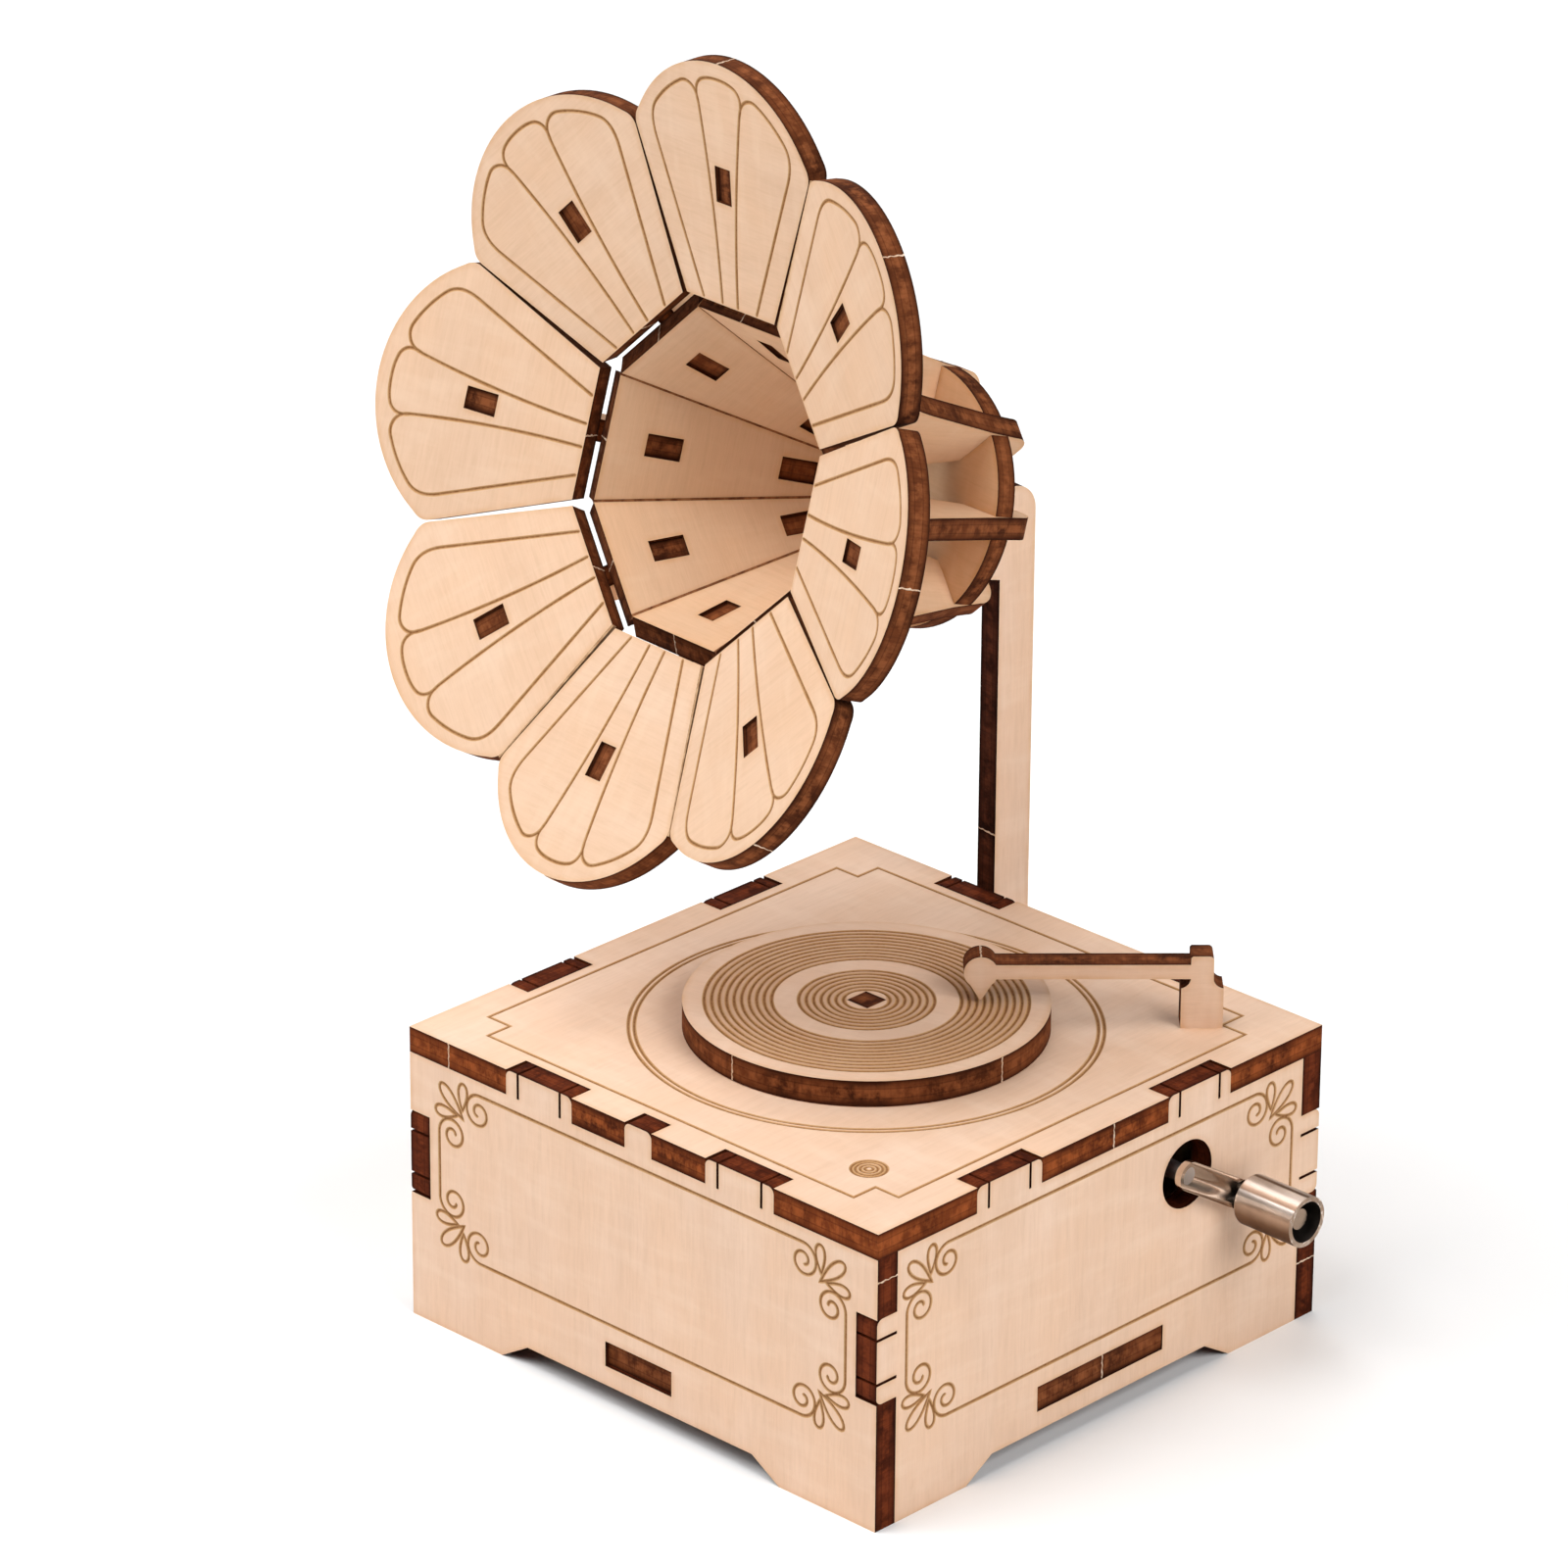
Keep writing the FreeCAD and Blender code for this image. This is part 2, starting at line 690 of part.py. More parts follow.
def knob_rivet():
    low = crank_arm_x[0]
    head_start = knob_x[1] - knob_recess + disc_gap
    shank = rod(rivet_r, V(low, knob_y, knob_z), V(1, 0, 0), head_start - low)
    head = rod(rivet_head_r, V(head_start, knob_y, knob_z), V(1, 0, 0), rivet_end - head_start)
    return all_of([shank, head])


def crank_knob():
    low, high = knob_x
    start = V(low, knob_y, knob_z)
    body = rod(knob_r, start, V(1, 0, 0), high - low)
    base_edges = [edge for edge in body.Edges if abs(edge.BoundBox.XMax - low) < 0.01]
    body = body.makeFillet(knob_round, base_edges)
    bore = rod(rivet_r + running_gap, start - V(1, 0, 0), V(1, 0, 0), high - low + 2)
    recess = rod(knob_recess_r, V(high - knob_recess, knob_y, knob_z), V(1, 0, 0), knob_recess + 1)
    return body.cut([bore, recess])


# ---------------------------------------------------------------- worm and wheel
def tooth_profile(root_r, tip_r, to_point):
    """A straight-sided tooth, for a thread or a wheel, from just inside the root radius."""
    low_r = root_r - tooth_sink
    return polygon([to_point(low_r, -tooth_root / 2), to_point(tip_r, -tooth_tip / 2),
                    to_point(tip_r, tooth_tip / 2), to_point(low_r, tooth_root / 2)])


def crank_worm():
    """A right-handed worm whose thread is between two wheel teeth at its lowest point."""
    length = worm_turns * worm_pitch
    helix = Part.makeHelix(worm_pitch, length, worm_root_r)
    profile = tooth_profile(worm_root_r, worm_tip_r, lambda r, side: V(r, 0, side))
    thread = Part.Wire(helix.Edges).makePipeShell([profile], True, True)
    core = rod(worm_root_r, V(0, 0, -tooth_root), UP, length + 2 * tooth_root)
    worm = core.fuse(thread)
    worm = worm.cut(rod(shaft_r, V(0, 0, -2 * worm_pitch), UP, length + 4 * worm_pitch))
    # The thread starts at its lowest point, a turn and a half from the wheel's middle plane.
    worm.rotate(V(0, 0, 0), V(0, 1, 0), 90)
    worm.translate(V(wheel_x - length / 2, axle_y, axle_z))
    return worm


def worm_wheel():
    """A wheel about Y with straight-sided teeth, one of them at the top."""
    start = V(0, 0, 0)
    shapes = [rod(wheel_root_r, start, UP, wheel_thick)]
    outline = tooth_profile(wheel_root_r, wheel_tip_r, lambda r, side: V(r, side, 0))
    for number in range(teeth):
        tooth = slab(outline, UP * wheel_thick)
        tooth.rotate(start, UP, number * 360.0 / teeth + wheel_phase)
        shapes.append(tooth)
    wheel = shapes[0].fuse(shapes[1:])
    wheel = wheel.cut(rod(shaft_r, V(0, 0, -1), UP, wheel_thick + 2))
    wheel.rotate(start, V(1, 0, 0), 90)
    wheel.translate(V(wheel_x, axle_y + wheel_thick / 2, wheel_z))
    return wheel


# ---------------------------------------------------------------- the musical movement
def cylinder_tube(pins):
    low, high = cylinder_y
    start = V(wheel_x, low, wheel_z)
    tube = rod(cylinder_r, start, V(0, 1, 0), high - low)
    tube = tube.cut(rod(cylinder_r - cylinder_wall, start, V(0, 1, 0), high - low))
    return tube.cut(pins)


def end_cap(low):
    cap = rod(cylinder_r - cylinder_wall, V(wheel_x, low, wheel_z), V(0, 1, 0), cap_thick)
    return cap.cut(rod(shaft_r, V(wheel_x, low - 1, wheel_z), V(0, 1, 0), cap_thick + 2))


def note_place(number):
    return cylinder_middle + (number - (notes - 1) / 2) * note_pitch


def cylinder_pins():
    """The pins of each note, spread round the cylinder like a tune."""
    pins = []
    inner = cylinder_r - cylinder_wall
    for number in range(notes):
        for beat in range(pins_per_note):
            angle = math.radians(number * note_turn + beat * beat_turn)
            direction = V(math.cos(angle), 0, math.sin(angle))
            start = V(wheel_x, note_place(number), wheel_z) + direction * inner
            pins.append(rod(pin_r, start, direction, pin_tip_r - inner))
    return pins


def comb():
    """Steel comb with its teeth towards the cylinder, the low notes longest."""
    height = (comb_z, comb_z + comb_thick)
    plate = block((comb_back_x, comb_tip_x), span(cylinder_middle, notes * note_pitch), height)
    cuts = []
    for number in range(notes + 1):
        place = cylinder_middle + (number - notes / 2) * note_pitch
        root = comb_root_x + number * tooth_step
        cuts.append(block((root, comb_tip_x + 1), span(place, tooth_gap), height))
    for x, y in comb_screw_places:
        cuts.append(rod(screw_shank_r, V(x, y, comb_z - 1), UP, comb_thick + 2))
    return plate.cut(cuts)


def comb_block():
    shape = block(comb_block_x, span(cylinder_middle, notes * note_pitch), (base_top, comb_z))
    depth = comb_screw_length
    cuts = [rod(screw_shank_r, V(x, y, comb_z - depth), UP, depth + 1)
            for x, y in comb_screw_places]
    return shape.cut(cuts)


def screw(x, y, seat, length, way=1):
    """A slotted cheese-head screw, with its head on the upper side of seat when way is 1."""
    shank = rod(screw_shank_r, V(x, y, seat - way * length), UP * way, length)
    cap = rod(screw_head_r, V(x, y, seat), UP * way, screw_head)
    slot_z = sorted((seat + way * screw_head / 2, seat + way * (screw_head + 1)))
    slot = block(span(x, 2 * screw_head_r + 1), span(y, screw_slot), slot_z)
    return all_of([shank, cap]).cut(slot)


def bracket(upright_x, upright_y, foot_x, foot_y, bore_start, bore_way, screw_place):
    """An upright with a bearing hole, and a foot for one screw."""
    upright = block(upright_x, upright_y, (base_top, bore_start.z + bracket_over))
    foot = block(foot_x, foot_y, (base_top, base_top + bracket_foot))
    bore = rod(shaft_r + running_gap, bore_start, bore_way, bracket_width)
    drill = rod(screw_shank_r, V(screw_place[0], screw_place[1], base_top - 1), UP,
                bracket_foot + 2)
    return all_of([upright, foot]).cut([bore, drill])


def cylinder_bracket(y, foot_y, screw_place):
    width = span(wheel_x, bracket_width)
    bore_start = V(wheel_x, sum(y) / 2 - bracket_width / 2, wheel_z)
    return bracket(width, y, width, foot_y, bore_start, V(0, 1, 0), screw_place)


def worm_bracket(x, foot_x, screw_place):
    width = span(axle_y, bracket_width)
    bore_start = V(sum(x) / 2 - bracket_width / 2, axle_y, axle_z)
    return bracket(x, width, foot_x, width, bore_start, V(1, 0, 0), screw_place)


def movement_base(holes):
    plate = block(base_x, base_y, (floor_top, base_top))
    return plate.cut(holes)


# ---------------------------------------------------------------- everything, node by node
def main():
    os.makedirs("parts", exist_ok=True)
    wide = [(-tab_place, tab_width), (tab_place, tab_width)]
    front_tabs = wide + [(0.0, middle_tab)]
    nodes = {}

    top = top_plate(front_tabs, wide, wide)
    nodes["top_plate"] = top.cut(along_diagonal(tonearm_tab(fit)))
    nodes["front_panel"] = front_or_back(-1, front_tabs)
    nodes["back_panel"] = back_panel(wide)
    nodes["crank_side_panel"] = crank_side_panel(wide)
    nodes["plain_side_panel"] = side_panel(-1, wide)

    nodes["record_disc"] = record_disc()
    nodes["record_spindle"] = record_spindle()
    nodes["spindle_washer"] = spindle_washer()
    nodes["tonearm"] = tonearm()

    petal_shape = petal()
    panel_shape = cone_panel()
    rib_shape = rib()
    for number in range(sectors):
        label = str(number + 1)
        nodes["petal_" + label] = in_sector(petal_shape, number)
        nodes["cone_panel_" + label] = in_sector(panel_shape, number)
        nodes["horn_rib_" + label] = in_sector(rib_shape, number)
    nodes["horn_back_disc"] = horn_back_disc()
    nodes["horn_post"] = horn_post()

    nodes["crank_arm"] = crank_arm()
    nodes["crank_shaft"] = crank_shaft()
    nodes["crank_worm"] = crank_worm()
    nodes["knob_rivet"] = knob_rivet()
    nodes["crank_knob"] = crank_knob()

    pins = cylinder_pins()
    nodes["cylinder_pins"] = group(pins)
    nodes["music_cylinder"] = cylinder_tube(pins)
    nodes["cylinder_cap_front"] = end_cap(cylinder_y[0])
    nodes["cylinder_cap_back"] = end_cap(cylinder_y[1] - cap_thick)
    shaft_start = V(wheel_x, cylinder_shaft_y[0], wheel_z)
    shaft_length = cylinder_shaft_y[1] - cylinder_shaft_y[0]
    nodes["cylinder_shaft"] = rod(shaft_r, shaft_start, V(0, 1, 0), shaft_length)
    nodes["worm_wheel"] = worm_wheel()

    comb_top = comb_z + comb_thick
    nodes["comb"] = comb()
    nodes["comb_block"] = comb_block()
    nodes["comb_screws"] = group([screw(x, y, comb_top, comb_screw_length)
                                  for x, y in comb_screw_places])

    front, back, inner, outer = bracket_screw_places
    nodes["cylinder_bracket_front"] = cylinder_bracket(
        front_bracket_y, (front_bracket_y[0] - bracket_foot_length, front_bracket_y[0]), front)
    nodes["cylinder_bracket_back"] = cylinder_bracket(
        back_bracket_y, (back_bracket_y[1], back_bracket_y[1] + bracket_foot_length), back)
    nodes["worm_bracket_inner"] = worm_bracket(
        inner_bracket_x, (inner_bracket_x[0] - bracket_foot_length, inner_bracket_x[0]), inner)
    nodes["worm_bracket_outer"] = worm_bracket(
        outer_bracket_x, (outer_bracket_x[1], outer_bracket_x[1] + bracket_foot_length), outer)
    nodes["bracket_screws"] = group([screw(x, y, base_top + bracket_foot, bracket_screw_length)
                                     for x, y in bracket_screw_places])

    grip = ply + base_thick
    nodes["base_screws"] = group([screw(x, y, floor_low, grip, way=-1)
                                  for x, y in base_screw_places])
    through = [rod(screw_shank_r, V(x, y, floor_low - 1), UP, grip + 2)
               for x, y in base_screw_places]
    blind_depth = bracket_screw_length - bracket_foot
    blind = [rod(screw_shank_r, V(x, y, base_top - blind_depth), UP, blind_depth + 1)
             for x, y in bracket_screw_places]
    nodes["movement_base"] = movement_base(through + blind)
    nodes["bottom_plate"] = bottom_plate().cut(through)

    for name, shape in nodes.items():
        export(name, shape)
        solids = shape.Solids
        state = "" if shape.isValid() else "  NOT VALID"
        print(f"{name:24s} solids {len(solids):3d}  volume {shape.Volume:10.3f}{state}")
    print("nodes:", len(nodes))


main()
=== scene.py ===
import math

import bmesh
import bpy
import numpy as np
from mathutils import Matrix, Vector
from mathutils.bvhtree import BVHTree
from mathutils.geometry import delaunay_2d_cdt


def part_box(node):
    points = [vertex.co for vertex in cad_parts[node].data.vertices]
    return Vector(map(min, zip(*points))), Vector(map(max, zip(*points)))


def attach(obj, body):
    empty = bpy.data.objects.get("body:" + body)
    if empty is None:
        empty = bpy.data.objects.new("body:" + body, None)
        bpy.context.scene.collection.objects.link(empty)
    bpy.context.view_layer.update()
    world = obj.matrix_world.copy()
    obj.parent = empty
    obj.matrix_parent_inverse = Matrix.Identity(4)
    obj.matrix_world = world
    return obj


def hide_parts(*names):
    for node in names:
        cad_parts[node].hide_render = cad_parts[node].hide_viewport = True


# The looks of a small plywood gramophone with a hand crank.  Blender's units are metres;
# engravings are drawn in millimetres in the plane of each plate.

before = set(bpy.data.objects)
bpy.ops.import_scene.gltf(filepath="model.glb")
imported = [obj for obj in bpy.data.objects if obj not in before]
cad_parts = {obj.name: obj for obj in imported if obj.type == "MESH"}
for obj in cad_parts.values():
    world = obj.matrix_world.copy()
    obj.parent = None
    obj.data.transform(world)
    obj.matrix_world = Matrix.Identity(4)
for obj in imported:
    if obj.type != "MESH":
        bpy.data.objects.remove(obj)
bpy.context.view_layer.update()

MM = 0.001
SECTORS = range(1, 9)

X = Vector((1, 0, 0))
Y = Vector((0, 1, 0))
Z = Vector((0, 0, 1))

# ------------------------------------------- driving dimensions, in mm and degrees unless said
box_ply = 3.0
horn_ply = 2.5
line_half = 0.23          # half width of an engraved line
line_depth = 0.12         # of the V-shaped groove's bottom
groove_half = 0.24        # the same for the record's grooves
groove_depth = 0.14
path_step = 0.35          # spacing of points along drawn curves

# Engraved lines of a petal, as (out along it, across it).
petal_start = 0.4         # the petals' inner edge, from the mouth plane
petal_clear = 0.03        # gap between the ends of the lines and that edge
petal_end = 22.6          # where the dividers end
petal_points = 24         # points along a divider
divider_shape = (1.28, 0.02, 0.0033)     # distance across: constant, slope and bend
loop_start = (4.2, 0.4)                  # the same for the loop's inner end
loop_bends = ((17.0, 11.0), (19.67, 12.07))
lobe_middle = (11.55, 0)                 # the round part of the side lobes
lobe_r = 14.4
lobe_sweep = (48.0, 26.0)
# Curves that lead into a divider, and the middle lobe's end: each has a bend and an end.
lobe_turn = (((24.9, 5.45), (24.45, 4.55)), ((24.0, 3.65), (petal_end, 3.42)))
crown_turn = (((24.5, 4.15), (25.35, 2.9)), ((25.9, 1.9), (25.9, 0)))

frame_side = 30.5         # engraved frame on the walls, from the middle
frame_top = 30.3
frame_bottom = 9.9
scroll_r = 2.1            # outer radius of the corner scrolls
scroll_end_r = 0.45
scroll_start = 180
scroll_turn = 520
scroll_in = 6.15          # the scrolls' centres, in from the frame's corner
# Tip, round end and half width of the leaves between the two scrolls.
side_leaf = ((2.75, 3.6), (-0.55, 3.8), 0.72)
corner_leaf = ((3.7, 3.7), (0.25, 0.5), 0.82)
leaf_points = 22

plate_frame = 30.6        # stepped frame on the top plate
plate_step = 27.3         # where its corners step in
plate_rings = (25.8, 25.15)              # circles round the record
target_place = (23.9, -24.7)             # small target in the near corner
target_rings = (0.45, 0.95, 1.45, 1.9)

same_way = 0.99           # a triangle of a plate's face has a normal that agrees this well
level_slack = 0.01        # and corners this close to the face's plane
face_lean = 0.9           # triangles that agree with it less than this are cut edges
mitre_limit = 0.55        # sharp bends of a groove widen it no more than 1 over this
line_edge = 0.98          # share of a line's half width that is painted as engraved

# Base colours of the materials.
wood_dark_band = (0.740, 0.498, 0.338)
wood_light_band = (0.815, 0.580, 0.420)
wood_cloud = (0.800, 0.530, 0.350)
wood_fibre = (0.560, 0.350, 0.205)
wood_fleck = (0.540, 0.320, 0.180)
wood_curl = (0.590, 0.370, 0.215)
wood_ripple = (0.880, 0.670, 0.500)
wood_toast = (0.640, 0.350, 0.150)
char_black = (0.020, 0.0045, 0.0014)
char_dark = (0.046, 0.0115, 0.0038)
char_brown = (0.130, 0.035, 0.0105)
char_red = (0.270, 0.083, 0.0280)
char_grain = (0.28, 0.105, 0.038)
line_side_dark = (0.540, 0.295, 0.125)
line_side_light = (0.630, 0.385, 0.195)
line_bottom_dark = (0.225, 0.095, 0.030)
line_bottom_light = (0.350, 0.175, 0.070)
torn_dark = (0.520, 0.320, 0.190)
torn_light = (0.860, 0.680, 0.520)
channel_bright = (0.74, 0.64, 0.56)
channel_stain = (0.46, 0.36, 0.29)
# Painted shade for the hollow in the knob's end.
recess_shade_black = (0.010, 0.008, 0.007)
recess_shade_grey = (0.045, 0.036, 0.030)
plastic_dark = (0.72, 0.70, 0.62)
plastic_light = (0.82, 0.80, 0.74)
floor_dark = (0.90, 0.90, 0.90)
floor_light = (0.93, 0.93, 0.93)

# Each wooden piece's tint on its faces and on its cut edges. The darker, yellower tints of the
# petals, cone panels, ribs and back disc are partly painted shade, deepest for the back disc inside
# the horn, and partly a yellower wood; the post's darker edge tint is painted shade; the other tints
# are the wood's own colour.
plain_tone = (1.01, 1.02, 1.06)
petal_tone_painted_shade = (0.95, 0.935, 0.915)
cone_tone_painted_shade = (0.95, 0.91, 0.83)
rib_tone_painted_shade = (0.94, 0.89, 0.80)
disc_tone_painted_shade = (0.88, 0.80, 0.67)
plain_char = (1.0, 1.0, 1.0)
wall_char = (0.65, 0.42, 0.34)
lid_char = (1.25, 1.0, 0.72)
# The post's cut edges are darkened as painted shade.
post_char_painted_shade = (0.42, 0.38, 0.50)
seed_step = 37.0          # mm between the plates' places in the grain pattern

crank_y = 11.7            # the crank's axis
crank_z = 25.6
arm_across = Vector((0, 0.527, 0.850))   # square to the crank arm, in its plane
channel_half = 1.5        # half the width over which its reflections bend
channel_depth = -0.00030  # and how deeply, in metres

seam_half = 0.22          # half width of the charred bead between two cone panels
seam_rise = 0.05          # above the panels' faces
seam_depth = 0.9          # and below them
touching_petals = (4, 5, 8)              # these petals touch the next one
joint_half = 0.17         # half width of the bead between two petals
joint_aside = 0.12        # from the first petal's side
joint_sink = 0.02
joint_depth = 0.8
mark_half = 0.17          # half width of a torn break-off mark
mark_rise = 0.06          # above the cut edge
mark_stations = 9
mark_length = 0.98        # as a share of the plate's thickness
mark_waver = 0.05         # to each side
# Where marks are looked for on each plate: a start in its sheet and the way to go from there.
wall_marks = (((60, 29.3), (-1, 0)), ((-60, 6.9), (1, 0)))
lid_marks = (((-28.9, -60), (0, 1)), ((60, 1.3), (-1, 0)), ((-60, 2), (1, 0)),
             ((6, 60), (0, -1)))
disc_marks = (((-0.8, -60), (0, 1)), ((60, 0), (-1, 0)), ((0.5, 60), (0, -1)))
floor_marks = (((-60, -0.5), (1, 0)), ((60, -0.5), (-1, 0)))
petal_marks = (((60, 0), (-1, 0)), ((-20, 0), (1, 0)))
cone_mark = ((60, 0), (-1, 0))
post_mark_height = 42
arm_head = 12.3           # the tonearm's head, out along its diagonal
recess_r = 2.36           # the hollow in the knob's end

outer_grooves = (17.6, 10.3, 10)         # outermost and innermost radius, and how many
inner_grooves = (7.36, 2.53, 7)
record_bands = ((18.0, 10.0), (7.7, 2.2))  # toasted rings: outer and inner radius

# The studio as the metal mirrors it: brightness at rising heights of the sky.
room_bands = ((0.02, 0.10), (0.22, 0.14), (0.29, 1.6), (0.37, 1.5), (0.43, 0.18), (0.66, 0.20),
              (0.78, 1.0))
# Painted reflection on the turned knob: brightness bands of its base colour that stand in for the
# dark and bright surroundings it mirrors, from below to above.
knob_up = (0.0, 0.539, 0.842)
knob_painted_reflection = ((-0.95, 0.20), (-0.70, 0.36), (-0.40, 0.70), (-0.06, 0.88), (0.03, 1.0), (0.17, 1.0),
              (0.24, 0.36), (0.38, 0.42), (0.50, 0.84), (0.82, 0.80), (0.90, 0.34))

mirrored_floor = (0.42, 0.33, 0.26)
room_tint = (1.0, 0.93, 0.87)
world_strength = 0.04
floor_reach = 6.0         # in metres, as are the lights' sizes and the camera's places

light_size = 0.8
light_distance = 1.4
light_target = Vector((0.0, 0.0, 0.06))
# Azimuth and elevation in degrees, and power in watts.
studio_lights = ((-30, 35, 3.7), (-60, 35, 5.9), (-130, 40, 4.8), (-20, 62, 9.2), (1, 85, 5.0),
                 (90, 35, 13.0))

camera_azimuth = 43.952
camera_elevation = 24.093
camera_roll = 0.368
camera_target = Vector((0.0080, -0.0214, 0.0730))
camera_distance = 0.8500
camera_lens = 187.35      # on a 36 mm sensor


# ---------------------------------------------------------------- sheets
class Sheet:
    """The plane of a plate's visible face: u and v lie in it and n points out of it."""

    def __init__(self, origin, u, n):
        self.origin = origin
        self.u = u.normalized()
        self.n = n.normalized()
        self.v = self.n.cross(self.u)

    def flat(self, point):
        """(u, v, height) of a point of space, in mm."""
        offset = (point - self.origin) / MM
        return (offset.dot(self.u), offset.dot(self.v), offset.dot(self.n))

    def space(self, u, v, height=0.0):
        return self.origin + (self.u * u + self.v * v + self.n * height) * MM


def main_normal(node):
    """The direction that most of a plate's surface faces, one way or the other."""
    areas = {}
    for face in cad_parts[node].data.polygons:
        n = face.normal.copy()
        first = next(c for c in n if abs(c) > 0.01)
        if first < 0:
            n.negate()
        key = tuple(round(c, 2) for c in n)
        area, total = areas.get(key, (0.0, Vector()))
        areas[key] = (area + face.area, total + n * face.area)
    return max(areas.values(), key=lambda entry: entry[0])[1].normalized()


def corners_of(node):
    return [vertex.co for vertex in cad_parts[node].data.vertices]


def middle_of(node):
    low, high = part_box(node)
    return (low + high) / 2


def wall_sheet(node, u, n):
    """A wall's sheet, with its origin on the ground under the middle of the case."""
    reach = max(corner.dot(n) for corner in corners_of(node))
    return Sheet(n * reach, u, n)


# The horn's axis runs through the back disc, square to it, and forward means out of the mouth.
horn_axis = main_normal("horn_back_disc")
if horn_axis.y > 0:
    horn_axis.negate()
disc_corners = corners_of("horn_back_disc")
horn_middle = sum(disc_corners, Vector()) / len(disc_corners)


def horn_sheet(node, start):
    """The sheet of a petal or cone panel: u runs out along it and n faces the listener."""
    n = main_normal(node)
    outward = middle_of(node) - horn_middle
    outward -= horn_axis * outward.dot(horn_axis)
    if n.dot(horn_axis) < 0:
        n.negate()
    u = horn_axis.cross(n).cross(n)
    if u.dot(outward) < 0:
        u.negate()
    across = n.cross(u).normalized()
    corners = corners_of(node)
    inner = min(corner.dot(u.normalized()) for corner in corners)
    front = max(corner.dot(n) for corner in corners)
    origin = u.normalized() * (inner - start * MM) + n * front + across * horn_middle.dot(across)
    return Sheet(origin, u, n)


# ---------------------------------------------------------------- drawn paths, in mm
def straight(*points):
    return [Vector(point) for point in points]


def arc_points(centre, radius, start, end, end_radius=None):
    """Points along an arc, or along a spiral if end_radius is given; angles in degrees."""
    last = radius if end_radius is None else end_radius
    turn = math.radians(end - start)
    count = max(6, int(abs(turn) * max(radius, last) / path_step))
    points = []
    for i in range(count + 1):
        share = i / count
        angle = math.radians(start) + turn * share
        r = radius + (last - radius) * share
        points.append(Vector((centre[0] + r * math.cos(angle), centre[1] + r * math.sin(angle))))
    return points


def bent(a, control, b, count=8):
    """Points along a quadratic curve."""
    a, control, b = Vector(a), Vector(control), Vector(b)
    points = []
    for i in range(count + 1):
        t = i / count
        points.append(a * (1 - t) ** 2 + control * 2 * t * (1 - t) + b * t ** 2)
    return points


def ring(centre, radius):
    """A closed circle: its last point repeats its first."""
    count = max(16, int(2 * math.pi * radius / path_step))
    points = []
    for i in range(count + 1):
        angle = 2 * math.pi * (i % count) / count
        points.append(Vector((centre[0] + radius * math.cos(angle),
                              centre[1] + radius * math.sin(angle))))
    return points


def teardrop(tip, end, half_width):
    """A closed leaf, pointed at tip and round at end."""
    tip, end = Vector(tip), Vector(end)
    along = end - tip
    across = Vector((-along.y, along.x)).normalized() * half_width
    points = []
    for i in range(leaf_points + 1):
        t = 2 * math.pi * i / leaf_points
        swell = math.sin(t) * abs(math.sin(t / 2)) ** 1.1 * 1.25
        points.append(tip + along * ((1 - math.cos(t)) / 2) + across * swell)
    return points


def mirrored(paths, side):
    """The paths as they are, or across the plate's middle line if side is -1."""
    return [[Vector((p.x, side * p.y)) for p in path] for path in paths]


# ---------------------------------------------------------------- engravings
def petal_lines():
    """Three lobes: two dividers and, on each side, a long loop that ends in a round lobe."""
    start = petal_start + line_half + petal_clear
    away, slope, bend = divider_shape
    sweep = arc_points(lobe_middle, lobe_r, *lobe_sweep)
    loop = straight((start, loop_start[0] + loop_start[1] * start))
    loop += bent(*loop_bends, sweep[0])
    loop += sweep[1:]
    for control, end in lobe_turn:
        loop += bent(loop[-1], control, end)[1:]
    divider = [Vector((out, away + slope * out + bend * out * out))
               for out in np.linspace(start, petal_end, petal_points)]
    crown = [loop[-1]]
    for control, end in crown_turn:
        crown += bent(crown[-1], control, end)[1:]
    paths = []
    for side in (-1, 1):
        paths += mirrored((loop, divider, crown), side)
    return paths


def scroll_corner():
    """The ornament in a frame's corner, as (in from the side line, in from the top line)."""
    upright = arc_points((scroll_r, scroll_in), scroll_r, scroll_start,
                         scroll_start + scroll_turn, scroll_end_r)
    leaf = teardrop(*side_leaf)
    level, level_leaf = [[Vector((p.y, p.x)) for p in path] for path in (upright, leaf)]
    return [upright, level, leaf, teardrop(*corner_leaf), level_leaf]


def wall_lines(bottom):
    """The frame round a wall, with its four corner ornaments."""
    paths = []
    for side in (-1, 1):
        for top in (True, False):
            for path in scroll_corner():
                points = []
                for p in path:
                    z = frame_top - p.y if top else bottom + p.y
                    points.append(Vector((side * (frame_side - p.x), z)))
                paths.append(points)
        paths.append(straight((side * frame_side, frame_top - scroll_in),
                              (side * frame_side, bottom + scroll_in)))
    end = frame_side - scroll_in
    for z in (frame_top, bottom):
        paths.append(straight((-end, z), (end, z)))
    return paths


def top_lines():
    paths = [ring((0, 0), radius) for radius in plate_rings]
    a, b = plate_step, plate_frame
    quarter = [(a, b), (a, a), (b, a), (b, -a)]
    outline = []
    for turn in range(4):
        angle = -math.radians(90 * turn)
        for x, y in quarter[:3]:
            outline.append(Vector((x * math.cos(angle) - y * math.sin(angle),
                                   x * math.sin(angle) + y * math.cos(angle))))
    paths.append(outline + [outline[0].copy()])
    paths += [ring(target_place, radius) for radius in target_rings]
    return paths


def record_lines():
    paths = []
    for first, last, count in (outer_grooves, inner_grooves):
        paths += [ring((0, 0), radius) for radius in np.linspace(first, last, count)]
    return paths


# ---------------------------------------------------------------- carving a plate
def is_loop(path):
    return (path[0] - path[-1]).length < 1e-6


